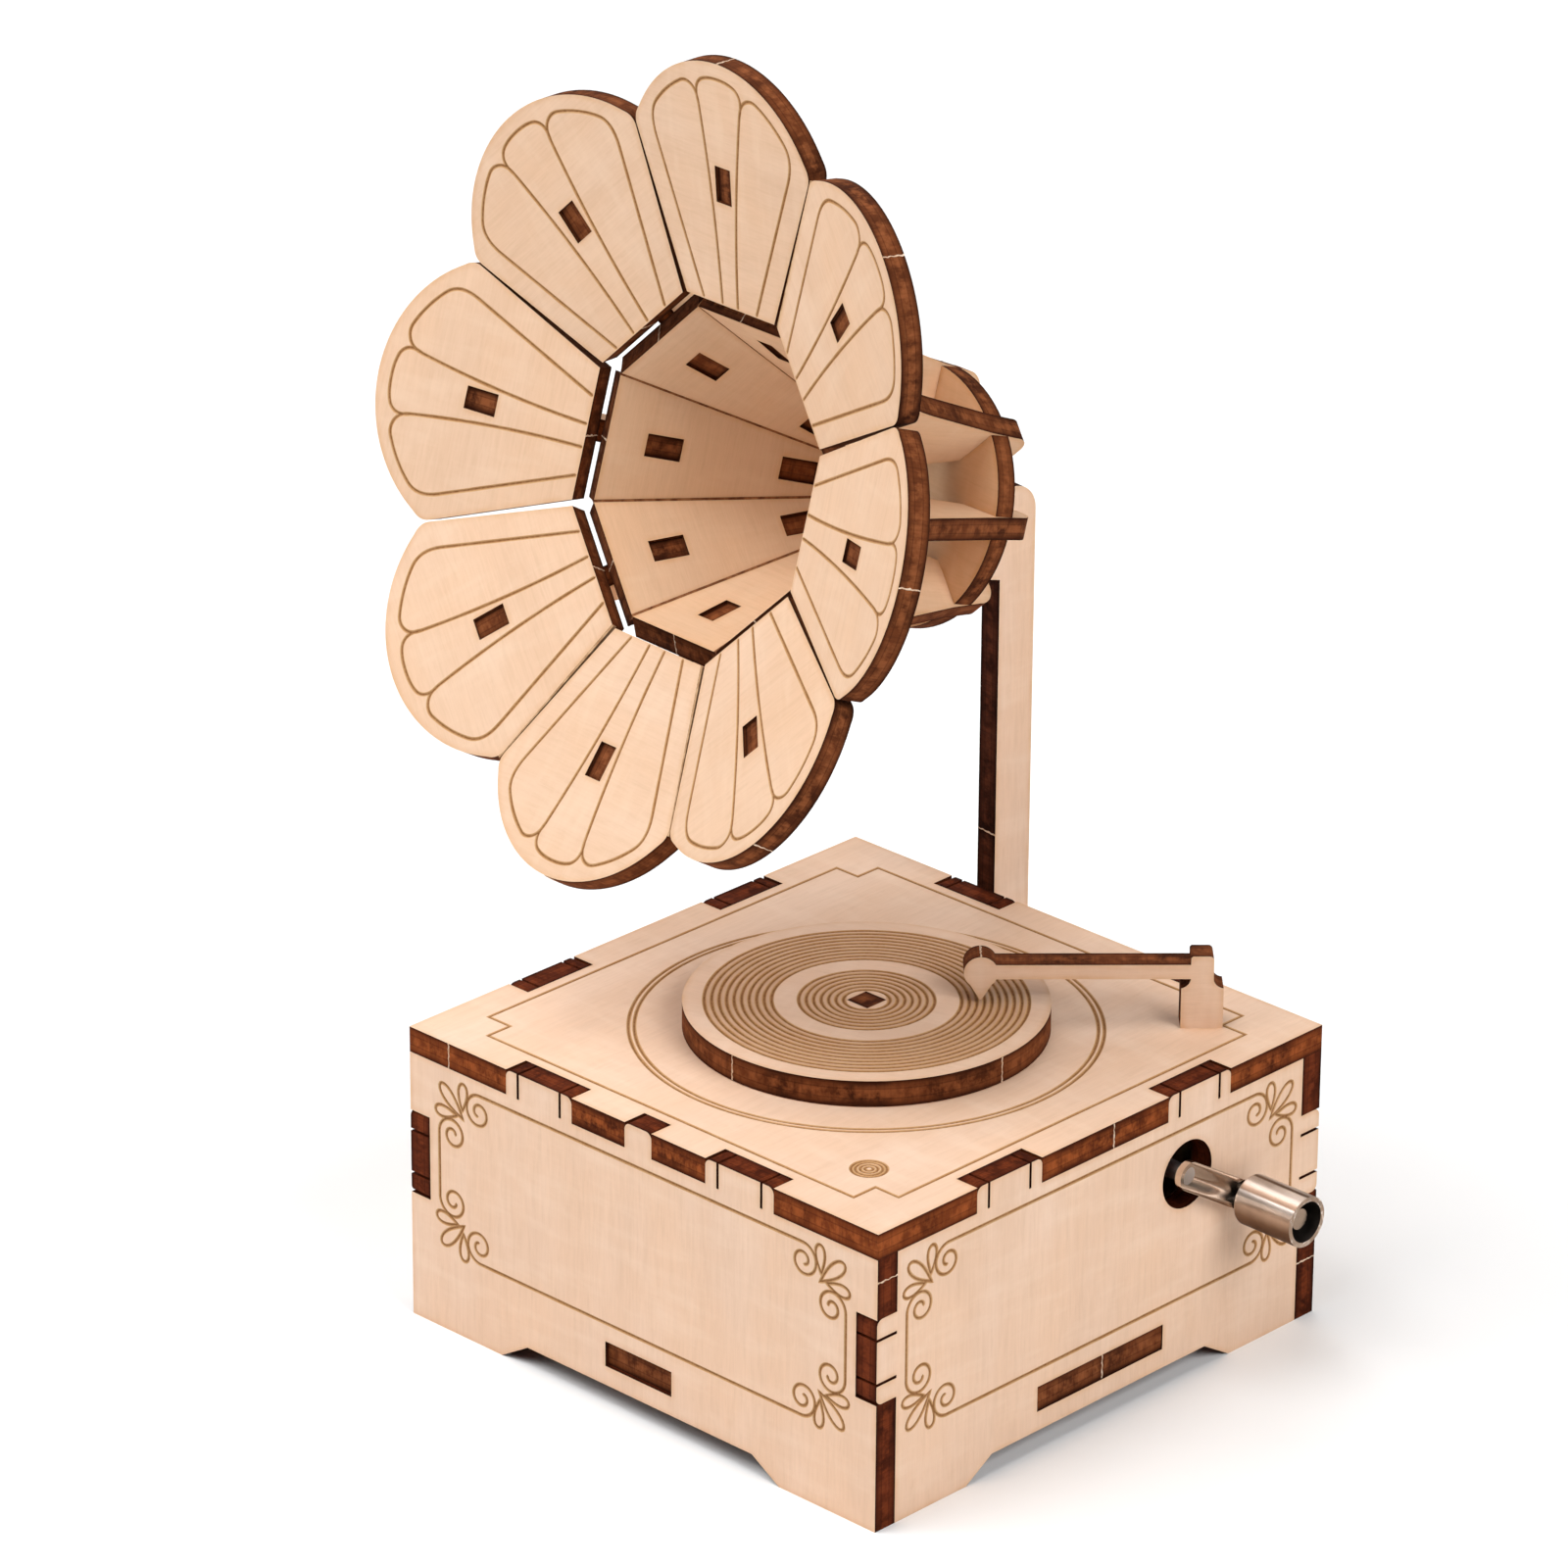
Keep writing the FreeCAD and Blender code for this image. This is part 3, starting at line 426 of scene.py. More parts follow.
def offset_path(path, distance):
    """The path moved sideways by distance, with mitred corners."""
    closed = is_loop(path)
    points = path[:-1] if closed else path
    count = len(points)
    moved = []
    for i, point in enumerate(points):
        before = points[i - 1] if i or closed else None
        after = points[(i + 1) % count] if i < count - 1 or closed else None
        normals = []
        for a, b in ((before, point), (point, after)):
            if a is not None and b is not None:
                way = (b - a).normalized()
                normals.append(Vector((-way.y, way.x)))
        normal = sum(normals, Vector((0, 0))).normalized()
        stretch = 1.0 / max(mitre_limit, normal.dot(normals[0]))
        moved.append(point + normal * distance * stretch)
    return moved + [moved[0].copy()] if closed else moved


def groove_outline(path, half):
    """The closed outlines round a groove and the line along its bottom."""
    left = offset_path(path, half)
    right = offset_path(path, -half)
    if is_loop(path):
        return [left, right, path]
    tail = path[0] - (path[1] - path[0]).normalized() * half
    tip = path[-1] + (path[-1] - path[-2]).normalized() * half
    return [[tail] + left + [tip] + right[::-1] + [tail.copy()], path]


def distance_to(points, paths):
    """Each point's distance to the nearest of the paths."""
    starts = np.array([p[:] for path in paths for p in path[:-1]])
    ends = np.array([p[:] for path in paths for p in path[1:]])
    along = ends - starts
    lengths = np.maximum((along ** 2).sum(1), 1e-12)
    nearest = np.empty(len(points))
    for i, point in enumerate(points):
        share = np.clip(((point - starts) * along).sum(1) / lengths, 0, 1)
        gap = starts + along * share[:, None] - point
        nearest[i] = math.sqrt((gap ** 2).sum(1).min())
    return nearest


def inside_outline(points, edges):
    """Even-odd test of points against the boundary edges of a face."""
    a = np.array([e[0] for e in edges])
    b = np.array([e[1] for e in edges])
    inside = np.zeros(len(points), bool)
    rise = np.where(np.abs(b[:, 1] - a[:, 1]) < 1e-12, 1e-12, b[:, 1] - a[:, 1])
    for i, (x, y) in enumerate(points):
        spans = (a[:, 1] > y) != (b[:, 1] > y)
        cross = a[:, 0] + (y - a[:, 1]) / rise * (b[:, 0] - a[:, 0])
        inside[i] = (spans & (cross > x)).sum() % 2 == 1
    return inside


FACE, EDGE, LINE, BAND = 0, 1, 2, 3


def paint_faces(mesh, normal):
    """Plate faces get the first material and cut edges the second."""
    for face in mesh.polygons:
        face.material_index = FACE if abs(face.normal.dot(normal)) > face_lean else EDGE
        face.use_smooth = False


def in_bands(middle, bands):
    radius = math.hypot(*middle)
    return any(inner < radius < outer for outer, inner in bands)


def carve(name, node, sheet, paths, half, depth, bands=()):
    """A copy of a plate's CAD node with V-shaped grooves cut in its visible face."""
    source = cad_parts[node]
    bm = bmesh.new()
    bm.from_mesh(source.data)
    bmesh.ops.remove_doubles(bm, verts=bm.verts, dist=1e-6)
    bmesh.ops.dissolve_degenerate(bm, edges=bm.edges, dist=1e-7)
    bm.normal_update()
    front = [f for f in bm.faces if f.normal.dot(sheet.n) > same_way
             and all(abs(sheet.flat(v.co)[2]) < level_slack for v in f.verts)]
    chosen = set(front)
    rim = [e for e in bm.edges if sum(f in chosen for f in e.link_faces) == 1]
    rim_verts = list({v for e in rim for v in e.verts})
    number = {v: i for i, v in enumerate(rim_verts)}
    flat = [Vector(sheet.flat(v.co)[:2]) for v in rim_verts]
    edges = [(number[e.verts[0]], number[e.verts[1]]) for e in rim]
    outline = [(tuple(flat[a]), tuple(flat[b])) for a, b in edges]
    for path in paths:
        for loop in groove_outline(path, half):
            base = len(flat)
            closed = is_loop(loop)
            points = loop[:-1] if closed else loop
            flat += points
            edges += [(base + i, base + i + 1) for i in range(len(points) - 1)]
            if closed:
                edges.append((base + len(points) - 1, base))
    spots, _, triangles, origins, _, _ = delaunay_2d_cdt(flat, edges, [], 0, 1e-5)
    bmesh.ops.delete(bm, geom=front, context="FACES_ONLY")
    drop = depth * np.clip(1 - distance_to([np.array(p[:]) for p in spots], paths) / half, 0, 1)
    verts = []
    for i, spot in enumerate(spots):
        known = [k for k in origins[i] if k < len(rim_verts)]
        if known:
            verts.append(rim_verts[known[0]])
        else:
            verts.append(bm.verts.new(sheet.space(spot.x, spot.y, -drop[i])))
    middles = [sum((np.array(spots[k][:]) for k in t), np.zeros(2)) / 3 for t in triangles]
    keep = inside_outline(middles, outline)
    engraved = distance_to(middles, paths) < half * line_edge
    new_faces = {}
    for triangle, middle, wanted, cut in zip(triangles, middles, keep, engraved):
        if wanted:
            face = bm.faces.new([verts[k] for k in triangle])
            if cut:
                new_faces[face] = LINE
            elif in_bands(middle, bands):
                new_faces[face] = BAND
    bmesh.ops.recalc_face_normals(bm, faces=bm.faces)
    loose = [v for v in bm.verts if not v.link_faces]
    bmesh.ops.delete(bm, geom=loose, context="VERTS")
    bm.normal_update()
    bm.faces.index_update()
    special = {face.index: kind for face, kind in new_faces.items()}
    mesh = bpy.data.meshes.new(name)
    bm.to_mesh(mesh)
    bm.free()
    for material in (wood, burnt, engraved_line, toasted):
        mesh.materials.append(material)
    paint_faces(mesh, sheet.n)
    for index, kind in special.items():
        mesh.polygons[index].material_index = kind
    piece = bpy.data.objects.new(name, mesh)
    bpy.context.collection.objects.link(piece)
    return piece


# ---------------------------------------------------------------- materials
class Nodes:
    """Short names for building a material's node tree."""

    def __init__(self, name):
        self.material = bpy.data.materials.new(name)
        self.material.use_nodes = True
        self.tree = self.material.node_tree
        self.shader = self.tree.nodes["Principled BSDF"]

    def add(self, kind, **settings):
        node = self.tree.nodes.new(kind)
        for key, value in settings.items():
            setattr(node, key, value)
        return node

    def link(self, value, socket):
        if isinstance(value, bpy.types.NodeSocket):
            self.tree.links.new(value, socket)
        elif isinstance(value, (tuple, list)) and len(value) == 3 and len(socket.default_value) == 4:
            socket.default_value = (*value, 1)
        else:
            socket.default_value = value

    def math(self, operation, a, b=0.0):
        node = self.add("ShaderNodeMath", operation=operation)
        self.link(a, node.inputs[0])
        self.link(b, node.inputs[1])
        return node.outputs[0]

    def dot(self, a, b):
        node = self.add("ShaderNodeVectorMath", operation="DOT_PRODUCT")
        self.link(a, node.inputs[0])
        self.link(b, node.inputs[1])
        return node.outputs["Value"]

    def property(self, name):
        """A value or vector that each object holds as a custom property."""
        return self.add("ShaderNodeAttribute", attribute_type="OBJECT", attribute_name=name)

    def combine(self, x, y, z):
        node = self.add("ShaderNodeCombineXYZ")
        for value, socket in zip((x, y, z), node.inputs):
            self.link(value, socket)
        return node.outputs[0]

    def noise(self, vector, scale, detail=2.0, roughness=0.5, stretch=(1, 1, 1)):
        scaled = self.add("ShaderNodeVectorMath", operation="MULTIPLY")
        self.link(vector, scaled.inputs[0])
        scaled.inputs[1].default_value = stretch
        node = self.add("ShaderNodeTexNoise")
        node.inputs["Scale"].default_value = scale
        node.inputs["Detail"].default_value = detail
        node.inputs["Roughness"].default_value = roughness
        self.link(scaled.outputs[0], node.inputs["Vector"])
        return node.outputs["Fac"]

    def ramp(self, value, low, high, to_low=0.0, to_high=1.0):
        node = self.add("ShaderNodeMapRange")
        for number, socket in zip((value, low, high, to_low, to_high), node.inputs):
            self.link(number, socket)
        return node.outputs[0]

    def mix(self, factor, a, b, blend="MIX"):
        node = self.add("ShaderNodeMix", data_type="RGBA", blend_type=blend)
        self.link(factor, node.inputs["Factor"])
        colours = [socket for socket in node.inputs if socket.type == "RGBA"]
        self.link(a, colours[0])
        self.link(b, colours[1])
        return [socket for socket in node.outputs if socket.type == "RGBA"][0]

    def bands(self, value, stops):
        """Grey to brown bands of painted reflection: pairs of a value from -1 to 1 and a brightness.
        """
        node = self.add("ShaderNodeValToRGB")
        for place, brightness in stops:
            stop = node.color_ramp.elements.new((place + 1) / 2)
            stop.color = (brightness, brightness ** 1.3, brightness ** 1.55, 1)
        self.link(self.ramp(value, -1.0, 1.0), node.inputs[0])
        return node.outputs[0]

    def bump(self, height, distance, strength=1.0):
        node = self.add("ShaderNodeBump")
        node.inputs["Strength"].default_value = strength
        node.inputs["Distance"].default_value = distance
        self.link(height, node.inputs["Height"])
        self.link(node.outputs[0], self.shader.inputs["Normal"])

    def finish(self, colour, roughness, metallic=0.0):
        self.link(colour, self.shader.inputs["Base Color"])
        self.link(roughness, self.shader.inputs["Roughness"])
        self.link(metallic, self.shader.inputs["Metallic"])
        return self.material


def sheet_place(n):
    """Place on a plate in mm, along the grain, across it and down from the visible face, and
    the depth as a share of the plate's thickness."""
    place = n.add("ShaderNodeTexCoord").outputs["Object"]
    parts = [n.dot(place, n.property(name).outputs["Vector"]) for name in ("grain", "across")]
    height = n.dot(place, n.property("facing").outputs["Vector"])
    along = n.math("ADD", n.math("MULTIPLY", parts[0], 1 / MM), n.property("seed").outputs["Fac"])
    across = n.math("MULTIPLY", parts[1], 1 / MM)
    down = n.math("SUBTRACT", n.property("face_height").outputs["Fac"],
                  n.math("MULTIPLY", height, 1 / MM))
    share = n.math("DIVIDE", down, n.property("thickness").outputs["Fac"])
    return n.combine(along, across, down), down, share


def edge_glow(n, distance):
    """0 in the middle of a face, 1 beside a cut: how much of the wood close by is missing."""
    node = n.add("ShaderNodeAmbientOcclusion", samples=6, inside=True, only_local=True)
    node.inputs["Distance"].default_value = distance
    return n.ramp(node.outputs["AO"], 0.98, 0.55)


def wood_material(name, tint):
    """Pale basswood: long soft bands, fine fibres, short pores, and toasting beside cuts."""
    n = Nodes(name)
    place, _, _ = sheet_place(n)
    bands = n.noise(place, 0.16, 3.0, 0.55, (0.10, 1.0, 1.0))
    cloud = n.noise(place, 0.09, 3.0, 0.55, (0.6, 1.0, 1.0))
    fibres = n.noise(place, 3.6, 4.0, 0.7, (0.05, 1.0, 1.0))
    flecks = n.noise(place, 2.0, 3.0, 0.6, (0.16, 1.0, 1.0))
    curl = n.noise(place, 1.3, 3.0, 0.6, (0.12, 1.0, 1.0))
    ripple = n.noise(place, 0.45, 3.0, 0.6, (0.9, 0.22, 1.0))
    base = n.mix(n.ramp(bands, 0.3, 0.7), wood_dark_band, wood_light_band)
    base = n.mix(n.ramp(cloud, 0.38, 0.62, 0.0, 0.7), base, wood_cloud)
    base = n.mix(n.ramp(fibres, 0.36, 0.62, 0.16, 0.0), base, wood_fibre)
    base = n.mix(n.ramp(flecks, 0.58, 0.74, 0.0, 0.15), base, wood_fleck)
    base = n.mix(n.ramp(curl, 0.48, 0.66, 0.0, 0.17), base, wood_curl)
    base = n.mix(n.ramp(ripple, 0.48, 0.70, 0.0, 0.26), base, wood_ripple)
    patches = n.noise(place, 0.35, 2.0, 0.6)
    glow = n.math("MULTIPLY", edge_glow(n, 0.0008), n.ramp(patches, 0.3, 0.7, 0.15, 0.65))
    base = n.mix(glow, base, wood_toast)
    base = n.mix(1.0, base, tint, "MULTIPLY")
    # The piece's face tint: on the horn's petals, cone panels, ribs and back disc it darkens the
    # wood as painted shade.
    base = n.mix(1.0, base, n.property("tone_and_shade").outputs["Color"], "MULTIPLY")
    height = n.math("ADD", n.math("MULTIPLY", fibres, 0.8), n.math("MULTIPLY", flecks, -0.3))
    n.bump(height, 0.00005, 0.5)
    return n.finish(base, n.ramp(fibres, 0.3, 0.7, 0.58, 0.70))


def burnt_material():
    """A laser-cut edge: charred near the faces, redder in the middle plies, with the beam's
    fine stripes across it and a dark glue line on each side of the middle ply."""
    n = Nodes("burnt_edge")
    place, _, share = sheet_place(n)
    patches = n.noise(place, 0.13, 3.0, 0.6, (1.0, 1.0, 0.5))
    blotches = n.noise(place, 0.7, 3.0, 0.65, (1.0, 1.0, 0.8))
    stripes = n.noise(place, 3.2, 3.0, 0.6, (1.0, 1.0, 0.06))
    grain = n.noise(place, 3.5, 3.0, 0.7, (0.10, 0.10, 1.0))
    base = n.mix(n.ramp(patches, 0.36, 0.58), char_dark, char_brown)
    off_middle = n.math("ABSOLUTE", n.math("SUBTRACT", share, 0.5))
    middle = n.ramp(off_middle, 0.40, 0.14)
    clean = n.math("MULTIPLY", middle, n.ramp(blotches, 0.40, 0.60))
    base = n.mix(n.math("MULTIPLY", clean, 0.80), base, char_red)
    base = n.mix(n.ramp(off_middle, 0.36, 0.48, 0.0, 0.85), base, char_black)
    glue = n.math("ABSOLUTE", n.math("SUBTRACT", off_middle, 0.19))
    base = n.mix(n.ramp(glue, 0.0, 0.04, 0.45, 0.0), base, char_black)
    base = n.mix(n.ramp(stripes, 0.46, 0.72, 0.0, 0.32), base, char_black)
    base = n.mix(n.ramp(grain, 0.56, 0.8, 0.0, 0.2), base, char_grain)
    # The piece's edge tint: on the horn post it darkens the char as painted shade.
    base = n.mix(1.0, base, n.property("char_and_shade").outputs["Color"], "MULTIPLY")
    height = n.math("ADD", n.math("MULTIPLY", stripes, 0.8), n.math("MULTIPLY", grain, 0.5))
    n.bump(height, 0.00012, 0.7)
    n.shader.inputs["Specular IOR Level"].default_value = 0.07
    return n.finish(base, n.ramp(patches, 0.3, 0.7, 0.90, 0.75))


def engraved_material():
    """The toasted sides and darker bottom of an engraved line."""
    n = Nodes("engraved_line")
    place, down, _ = sheet_place(n)
    dots = n.noise(place, 4.0, 2.0, 0.6)
    patches = n.noise(place, 0.3, 2.0, 0.5)
    side = n.mix(n.ramp(patches, 0.35, 0.65), line_side_dark, line_side_light)
    bottom = n.mix(n.ramp(dots, 0.40, 0.65), line_bottom_dark, line_bottom_light)
    base = n.mix(n.ramp(down, 0.015, 0.100), side, bottom)
    n.bump(dots, 0.00005, 0.6)
    n.shader.inputs["Specular IOR Level"].default_value = 0.15
    return n.finish(base, 0.75)


def splinter_material():
    """Torn pale wood where a plate was snapped out of its sheet."""
    n = Nodes("torn_wood")
    place = n.add("ShaderNodeTexCoord").outputs["Object"]
    tears = n.noise(place, 2500.0, 3.0, 0.7)
    base = n.mix(n.ramp(tears, 0.35, 0.65), torn_dark, torn_light)
    n.bump(tears, 0.00006, 0.8)
    return n.finish(base, 0.8)


def seam_material(name, dark, light):
    """Char and dried glue in a joint between two plates."""
    n = Nodes(name)
    place = n.add("ShaderNodeTexCoord").outputs["Object"]
    blotches = n.noise(place, 900.0, 3.0, 0.65)
    base = n.mix(n.ramp(blotches, 0.35, 0.65), dark, light)
    n.bump(blotches, 0.00006, 0.8)
    n.shader.inputs["Specular IOR Level"].default_value = 0.18
    return n.finish(base, 0.75)


def metal_material(name, colour, dark, roughness, turned=0.0):
    """Plated or turned metal with fine rings across X and slight tarnish. Turned metal also gets a
    painted reflection: bright and dark bands in its base colour, set by how far each side faces
    knob_up.
    """
    n = Nodes(name)
    if turned:
        n.link(n.combine(1.0, 0.0, 0.0), n.shader.inputs["Tangent"])
        n.link(turned, n.shader.inputs["Anisotropic"])
    place = n.add("ShaderNodeTexCoord").outputs["Object"]
    rings = n.noise(place, 6000.0, 3.0, 0.6, (1.0, 0.03, 0.03))
    stain = n.noise(place, 300.0, 3.0, 0.55)
    base = n.mix(n.ramp(stain, 0.35, 0.75, 0.0, 0.6), colour, dark)
    if turned:
        # Painted reflection: the base colour is banded by how far the side faces up.
        raised = n.dot(n.add("ShaderNodeNewGeometry").outputs["Normal"], knob_up)
        base = n.mix(1.0, base, n.bands(raised, knob_painted_reflection), "MULTIPLY")
    n.bump(rings, 0.000004, 0.3)
    rough = n.math("ADD", n.ramp(stain, 0.3, 0.7, roughness, roughness * 1.6),
                   n.ramp(rings, 0.4, 0.7, 0.0, 0.05))
    return n.finish(base, rough, 1.0)


def channel_material():
    """Plated steel pressed into a channel along the crank arm, which bends its reflections."""
    n = Nodes("pressed_channel")
    place = n.add("ShaderNodeTexCoord").outputs["Object"]
    stain = n.noise(place, 400.0, 3.0, 0.55)
    across = n.math("MULTIPLY", n.dot(place, arm_across), 1 / MM)
    off = n.math("SUBTRACT", across, arm_across.dot(Vector((0, crank_y, crank_z))))
    wave = n.math("COSINE", n.math("MULTIPLY", off, math.pi / channel_half))
    base = n.mix(n.ramp(stain, 0.35, 0.75, 0.0, 0.6), channel_bright, channel_stain)
    n.bump(wave, channel_depth, 1.0)
    return n.finish(base, n.ramp(stain, 0.3, 0.7, 0.16, 0.26), 1.0)


def shaded_recess_material():
    """Painted shade in the hollow of the knob's end: near-black metal, faintly mottled."""
    n = Nodes("painted_shade_recess")
    place = n.add("ShaderNodeTexCoord").outputs["Object"]
    shade_mottle = n.noise(place, 900.0, 3.0, 0.6)
    base = n.mix(shade_mottle, recess_shade_black, recess_shade_grey)
    return n.finish(base, n.ramp(shade_mottle, 0.3, 0.7, 0.35, 0.6), 0.6)


def plastic_material():
    """Moulded gear plastic, faintly mottled."""
    n = Nodes("moulded_plastic")
    place = n.add("ShaderNodeTexCoord").outputs["Object"]
    mottle = n.noise(place, 900.0, 3.0, 0.6)
    base = n.mix(mottle, plastic_dark, plastic_light)
    n.bump(mottle, 0.00002, 0.4)
    return n.finish(base, n.ramp(mottle, 0.3, 0.7, 0.35, 0.5))


def floor_material():
    """A white floor, which the metal mirrors as a brown table."""
    n = Nodes("pale_floor")
    place = n.add("ShaderNodeTexCoord").outputs["Object"]
    cloud = n.noise(place, 2.0, 2.0, 0.5)
    base = n.mix(cloud, floor_dark, floor_light)
    in_mirror = n.add("ShaderNodeLightPath").outputs["Is Glossy Ray"]
    n.shader.inputs["Specular IOR Level"].default_value = 0.0
    return n.finish(n.mix(in_mirror, base, mirrored_floor), 0.8)


wood = wood_material("basswood", (1.0, 1.0, 1.0))
toasted = wood_material("toasted_basswood", (0.77, 0.68, 0.58))
burnt = burnt_material()
engraved_line = engraved_material()
torn = splinter_material()
burnt_seam = seam_material("charred_joint", (0.120, 0.038, 0.013), (0.330, 0.140, 0.058))
toasted_joint = seam_material("toasted_joint", (0.360, 0.190, 0.085), (0.600, 0.380, 0.210))
shaded_recess = shaded_recess_material()
chrome = metal_material("chrome", (0.80, 0.74, 0.69), (0.52, 0.45, 0.40), 0.15)
# The knob's turned chrome carries painted reflection bands in its colour.
turned_chrome_painted_reflection = metal_material("turned_chrome_painted_reflection", (0.94, 0.86, 0.80), (0.68, 0.56, 0.48), 0.28, 1.0)
pressed = channel_material()
steel = metal_material("steel", (0.56, 0.56, 0.57), (0.36, 0.35, 0.35), 0.28)
brass = metal_material("brass", (0.78, 0.56, 0.24), (0.50, 0.34, 0.14), 0.24)
plate_metal = metal_material("zinc_plate", (0.60, 0.60, 0.58), (0.42, 0.42, 0.40), 0.35)
gear_plastic = plastic_material()


# ---------------------------------------------------------------- placing looks on pieces
def set_grain(piece, sheet, grain_turn, seed, thickness, tone_and_shade, char_and_shade):
    """Stores on a wooden piece the directions, sizes and tints that its wood materials read; some of
    these tints hold painted shade.
    """
    angle = math.radians(grain_turn)
    grain = sheet.u * math.cos(angle) + sheet.v * math.sin(angle)
    piece["grain"] = list(grain)
    piece["across"] = list(sheet.n.cross(grain))
    piece["facing"] = list(sheet.n)
    piece["face_height"] = sheet.origin.dot(sheet.n) / MM
    piece["thickness"] = thickness
    piece["tone_and_shade"] = list(tone_and_shade)
    piece["char_and_shade"] = list(char_and_shade)
    piece["seed"] = seed * seed_step


def engraved_plate(node, sheet, paths, body, seed, grain_turn=0.0, thickness=box_ply,
                   tone_and_shade=plain_tone, char_and_shade=plain_char, half=line_half, depth=line_depth, bands=()):
    """A carved copy of a CAD plate, riding where the plate rode."""
    piece = carve(node + "_engraved", node, sheet, paths, half, depth, bands)
    set_grain(piece, sheet, grain_turn, seed, thickness, tone_and_shade, char_and_shade)
    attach(piece, body)
    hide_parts(node)
    return piece


def dress(node, materials):
    """Gives a CAD node its own materials."""
    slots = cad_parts[node].data.materials
    slots.clear()
    for material in materials:
        slots.append(material)


def dress_plate(node, sheet, seed, grain_turn=0.0, thickness=box_ply, tone_and_shade=plain_tone,
                char_and_shade=plain_char):
    """Wood on the faces and char on the cut edges of a CAD node that keeps its shape."""
    dress(node, (wood, burnt))
    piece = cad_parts[node]
    paint_faces(piece.data, sheet.n)
    set_grain(piece, sheet, grain_turn, seed, thickness, tone_and_shade, char_and_shade)


# ---------------------------------------------------------------- break-off marks and seams
def add_prism(bm, stations):
    """A closed bar through triangular stations, each a list of three points."""
    rows = [[bm.verts.new(point) for point in station] for station in stations]
    for a, b in zip(rows, rows[1:]):
        for i in range(3):
            j = (i + 1) % 3
            bm.faces.new((a[i], a[j], b[j], b[i]))
    bm.faces.new(rows[0][::-1])
    bm.faces.new(rows[-1])


def add_mark(bm, node, sheet, start, way, thickness):
    """A torn ridge across a cut edge, where a bridge of wood held the plate in its sheet.
    The edge is the first one met from start, going along way in the sheet's plane.  The
    ridge's unevenness comes from waves whose phase depends on where it is."""
    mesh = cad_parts[node].data
    tree = BVHTree.FromPolygons([v.co for v in mesh.vertices],
                                [tuple(p.vertices) for p in mesh.polygons])
    origin = sheet.space(*start, -thickness / 2)
    heading = (sheet.u * way[0] + sheet.v * way[1]).normalized()
    place, out, _, _ = tree.ray_cast(origin, heading)
    if out.dot(heading) > 0:
        out = -out
    across = sheet.n.cross(out).normalized()
    stations = []
    for i in range(mark_stations):
        share = i / (mark_stations - 1)
        phase = 2.4 * i + 900.0 * place.x + 1300.0 * place.z
        middle = place + sheet.n * (0.5 - share) * mark_length * thickness * MM
        middle += across * mark_waver * math.sin(phase) * MM
        width = mark_half * (1 + 0.3 * math.cos(1.7 * phase)) * MM
        tip = middle + out * mark_rise * (1 + 0.5 * math.sin(2.9 * phase)) * MM
        stations.append([middle - across * width - out * mark_rise * MM,
                         middle + across * width - out * mark_rise * MM, tip])
    add_prism(bm, stations)


def finish_mesh(name, bm, material, body):
    bmesh.ops.recalc_face_normals(bm, faces=bm.faces)
    mesh = bpy.data.meshes.new(name)
    bm.to_mesh(mesh)
    bm.free()
    mesh.materials.append(material)
    piece = bpy.data.objects.new(name, mesh)
    bpy.context.collection.objects.link(piece)
    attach(piece, body)
    return piece


def add_seam(bm, node, sheet, half, aside, rise, depth):
    """A bead along the straight joint between a plate of the horn and the next one."""
    places = [sheet.flat(corner) for corner in corners_of(node)]
    level = [p for p in places if abs(p[2]) < level_slack]
    near = max((p for p in level if p[0] < 2), key=lambda p: p[1])
    far = max(level, key=lambda p: p[1])
    stations = []
    for u, v, _ in (near, far):
        v += aside
        stations.append([sheet.space(u, v - half, rise), sheet.space(u, v + half, rise),
                         sheet.space(u, v, -depth)])
    add_prism(bm, stations)


# ---------------------------------------------------------------- the case
walls = {
    "front_panel": (X, -Y, 1),
    "back_panel": (-X, Y, 2),
    "crank_side_panel": (Y, X, 3),
    "plain_side_panel": (-Y, -X, 4),
}
marks = bmesh.new()
record_marks = bmesh.new()
for node, (u, n, seed) in walls.items():
    wall = wall_sheet(node, u, n)
    engraved_plate(node, wall, wall_lines(frame_bottom), "root", seed, grain_turn=90.0,
                   char_and_shade=wall_char)
    for start, way in wall_marks:
        add_mark(marks, node, wall, start, way, box_ply)

lid = wall_sheet("top_plate", X, Z)
engraved_plate("top_plate", lid, top_lines(), "root", 5, grain_turn=90.0, char_and_shade=lid_char)
for start, way in lid_marks:
    add_mark(marks, "top_plate", lid, start, way, box_ply)
disc = wall_sheet("record_disc", X, Z)
engraved_plate("record_disc", disc, record_lines(), "record", 6, grain_turn=20.0,
               half=groove_half, depth=groove_depth, bands=record_bands)
for start, way in disc_marks:
    add_mark(record_marks, "record_disc", disc, start, way, box_ply)
underside = wall_sheet("bottom_plate", X, -Z)
dress_plate("bottom_plate", underside, 7)
for start, way in floor_marks:
    add_mark(marks, "bottom_plate", underside, start, way, box_ply)
dress_plate("spindle_washer", wall_sheet("spindle_washer", X, Z), 8)
dress_plate("record_spindle", wall_sheet("record_spindle", Z, Y), 9)

# ---------------------------------------------------------------- the tonearm
arm_normal = main_normal("tonearm")
if arm_normal.y > 0:
    arm_normal.negate()
arm = wall_sheet("tonearm", Z.cross(arm_normal), arm_normal)
dress_plate("tonearm", arm, 10)
add_mark(marks, "tonearm", arm, (arm_head, 60), (0, -1), box_ply)

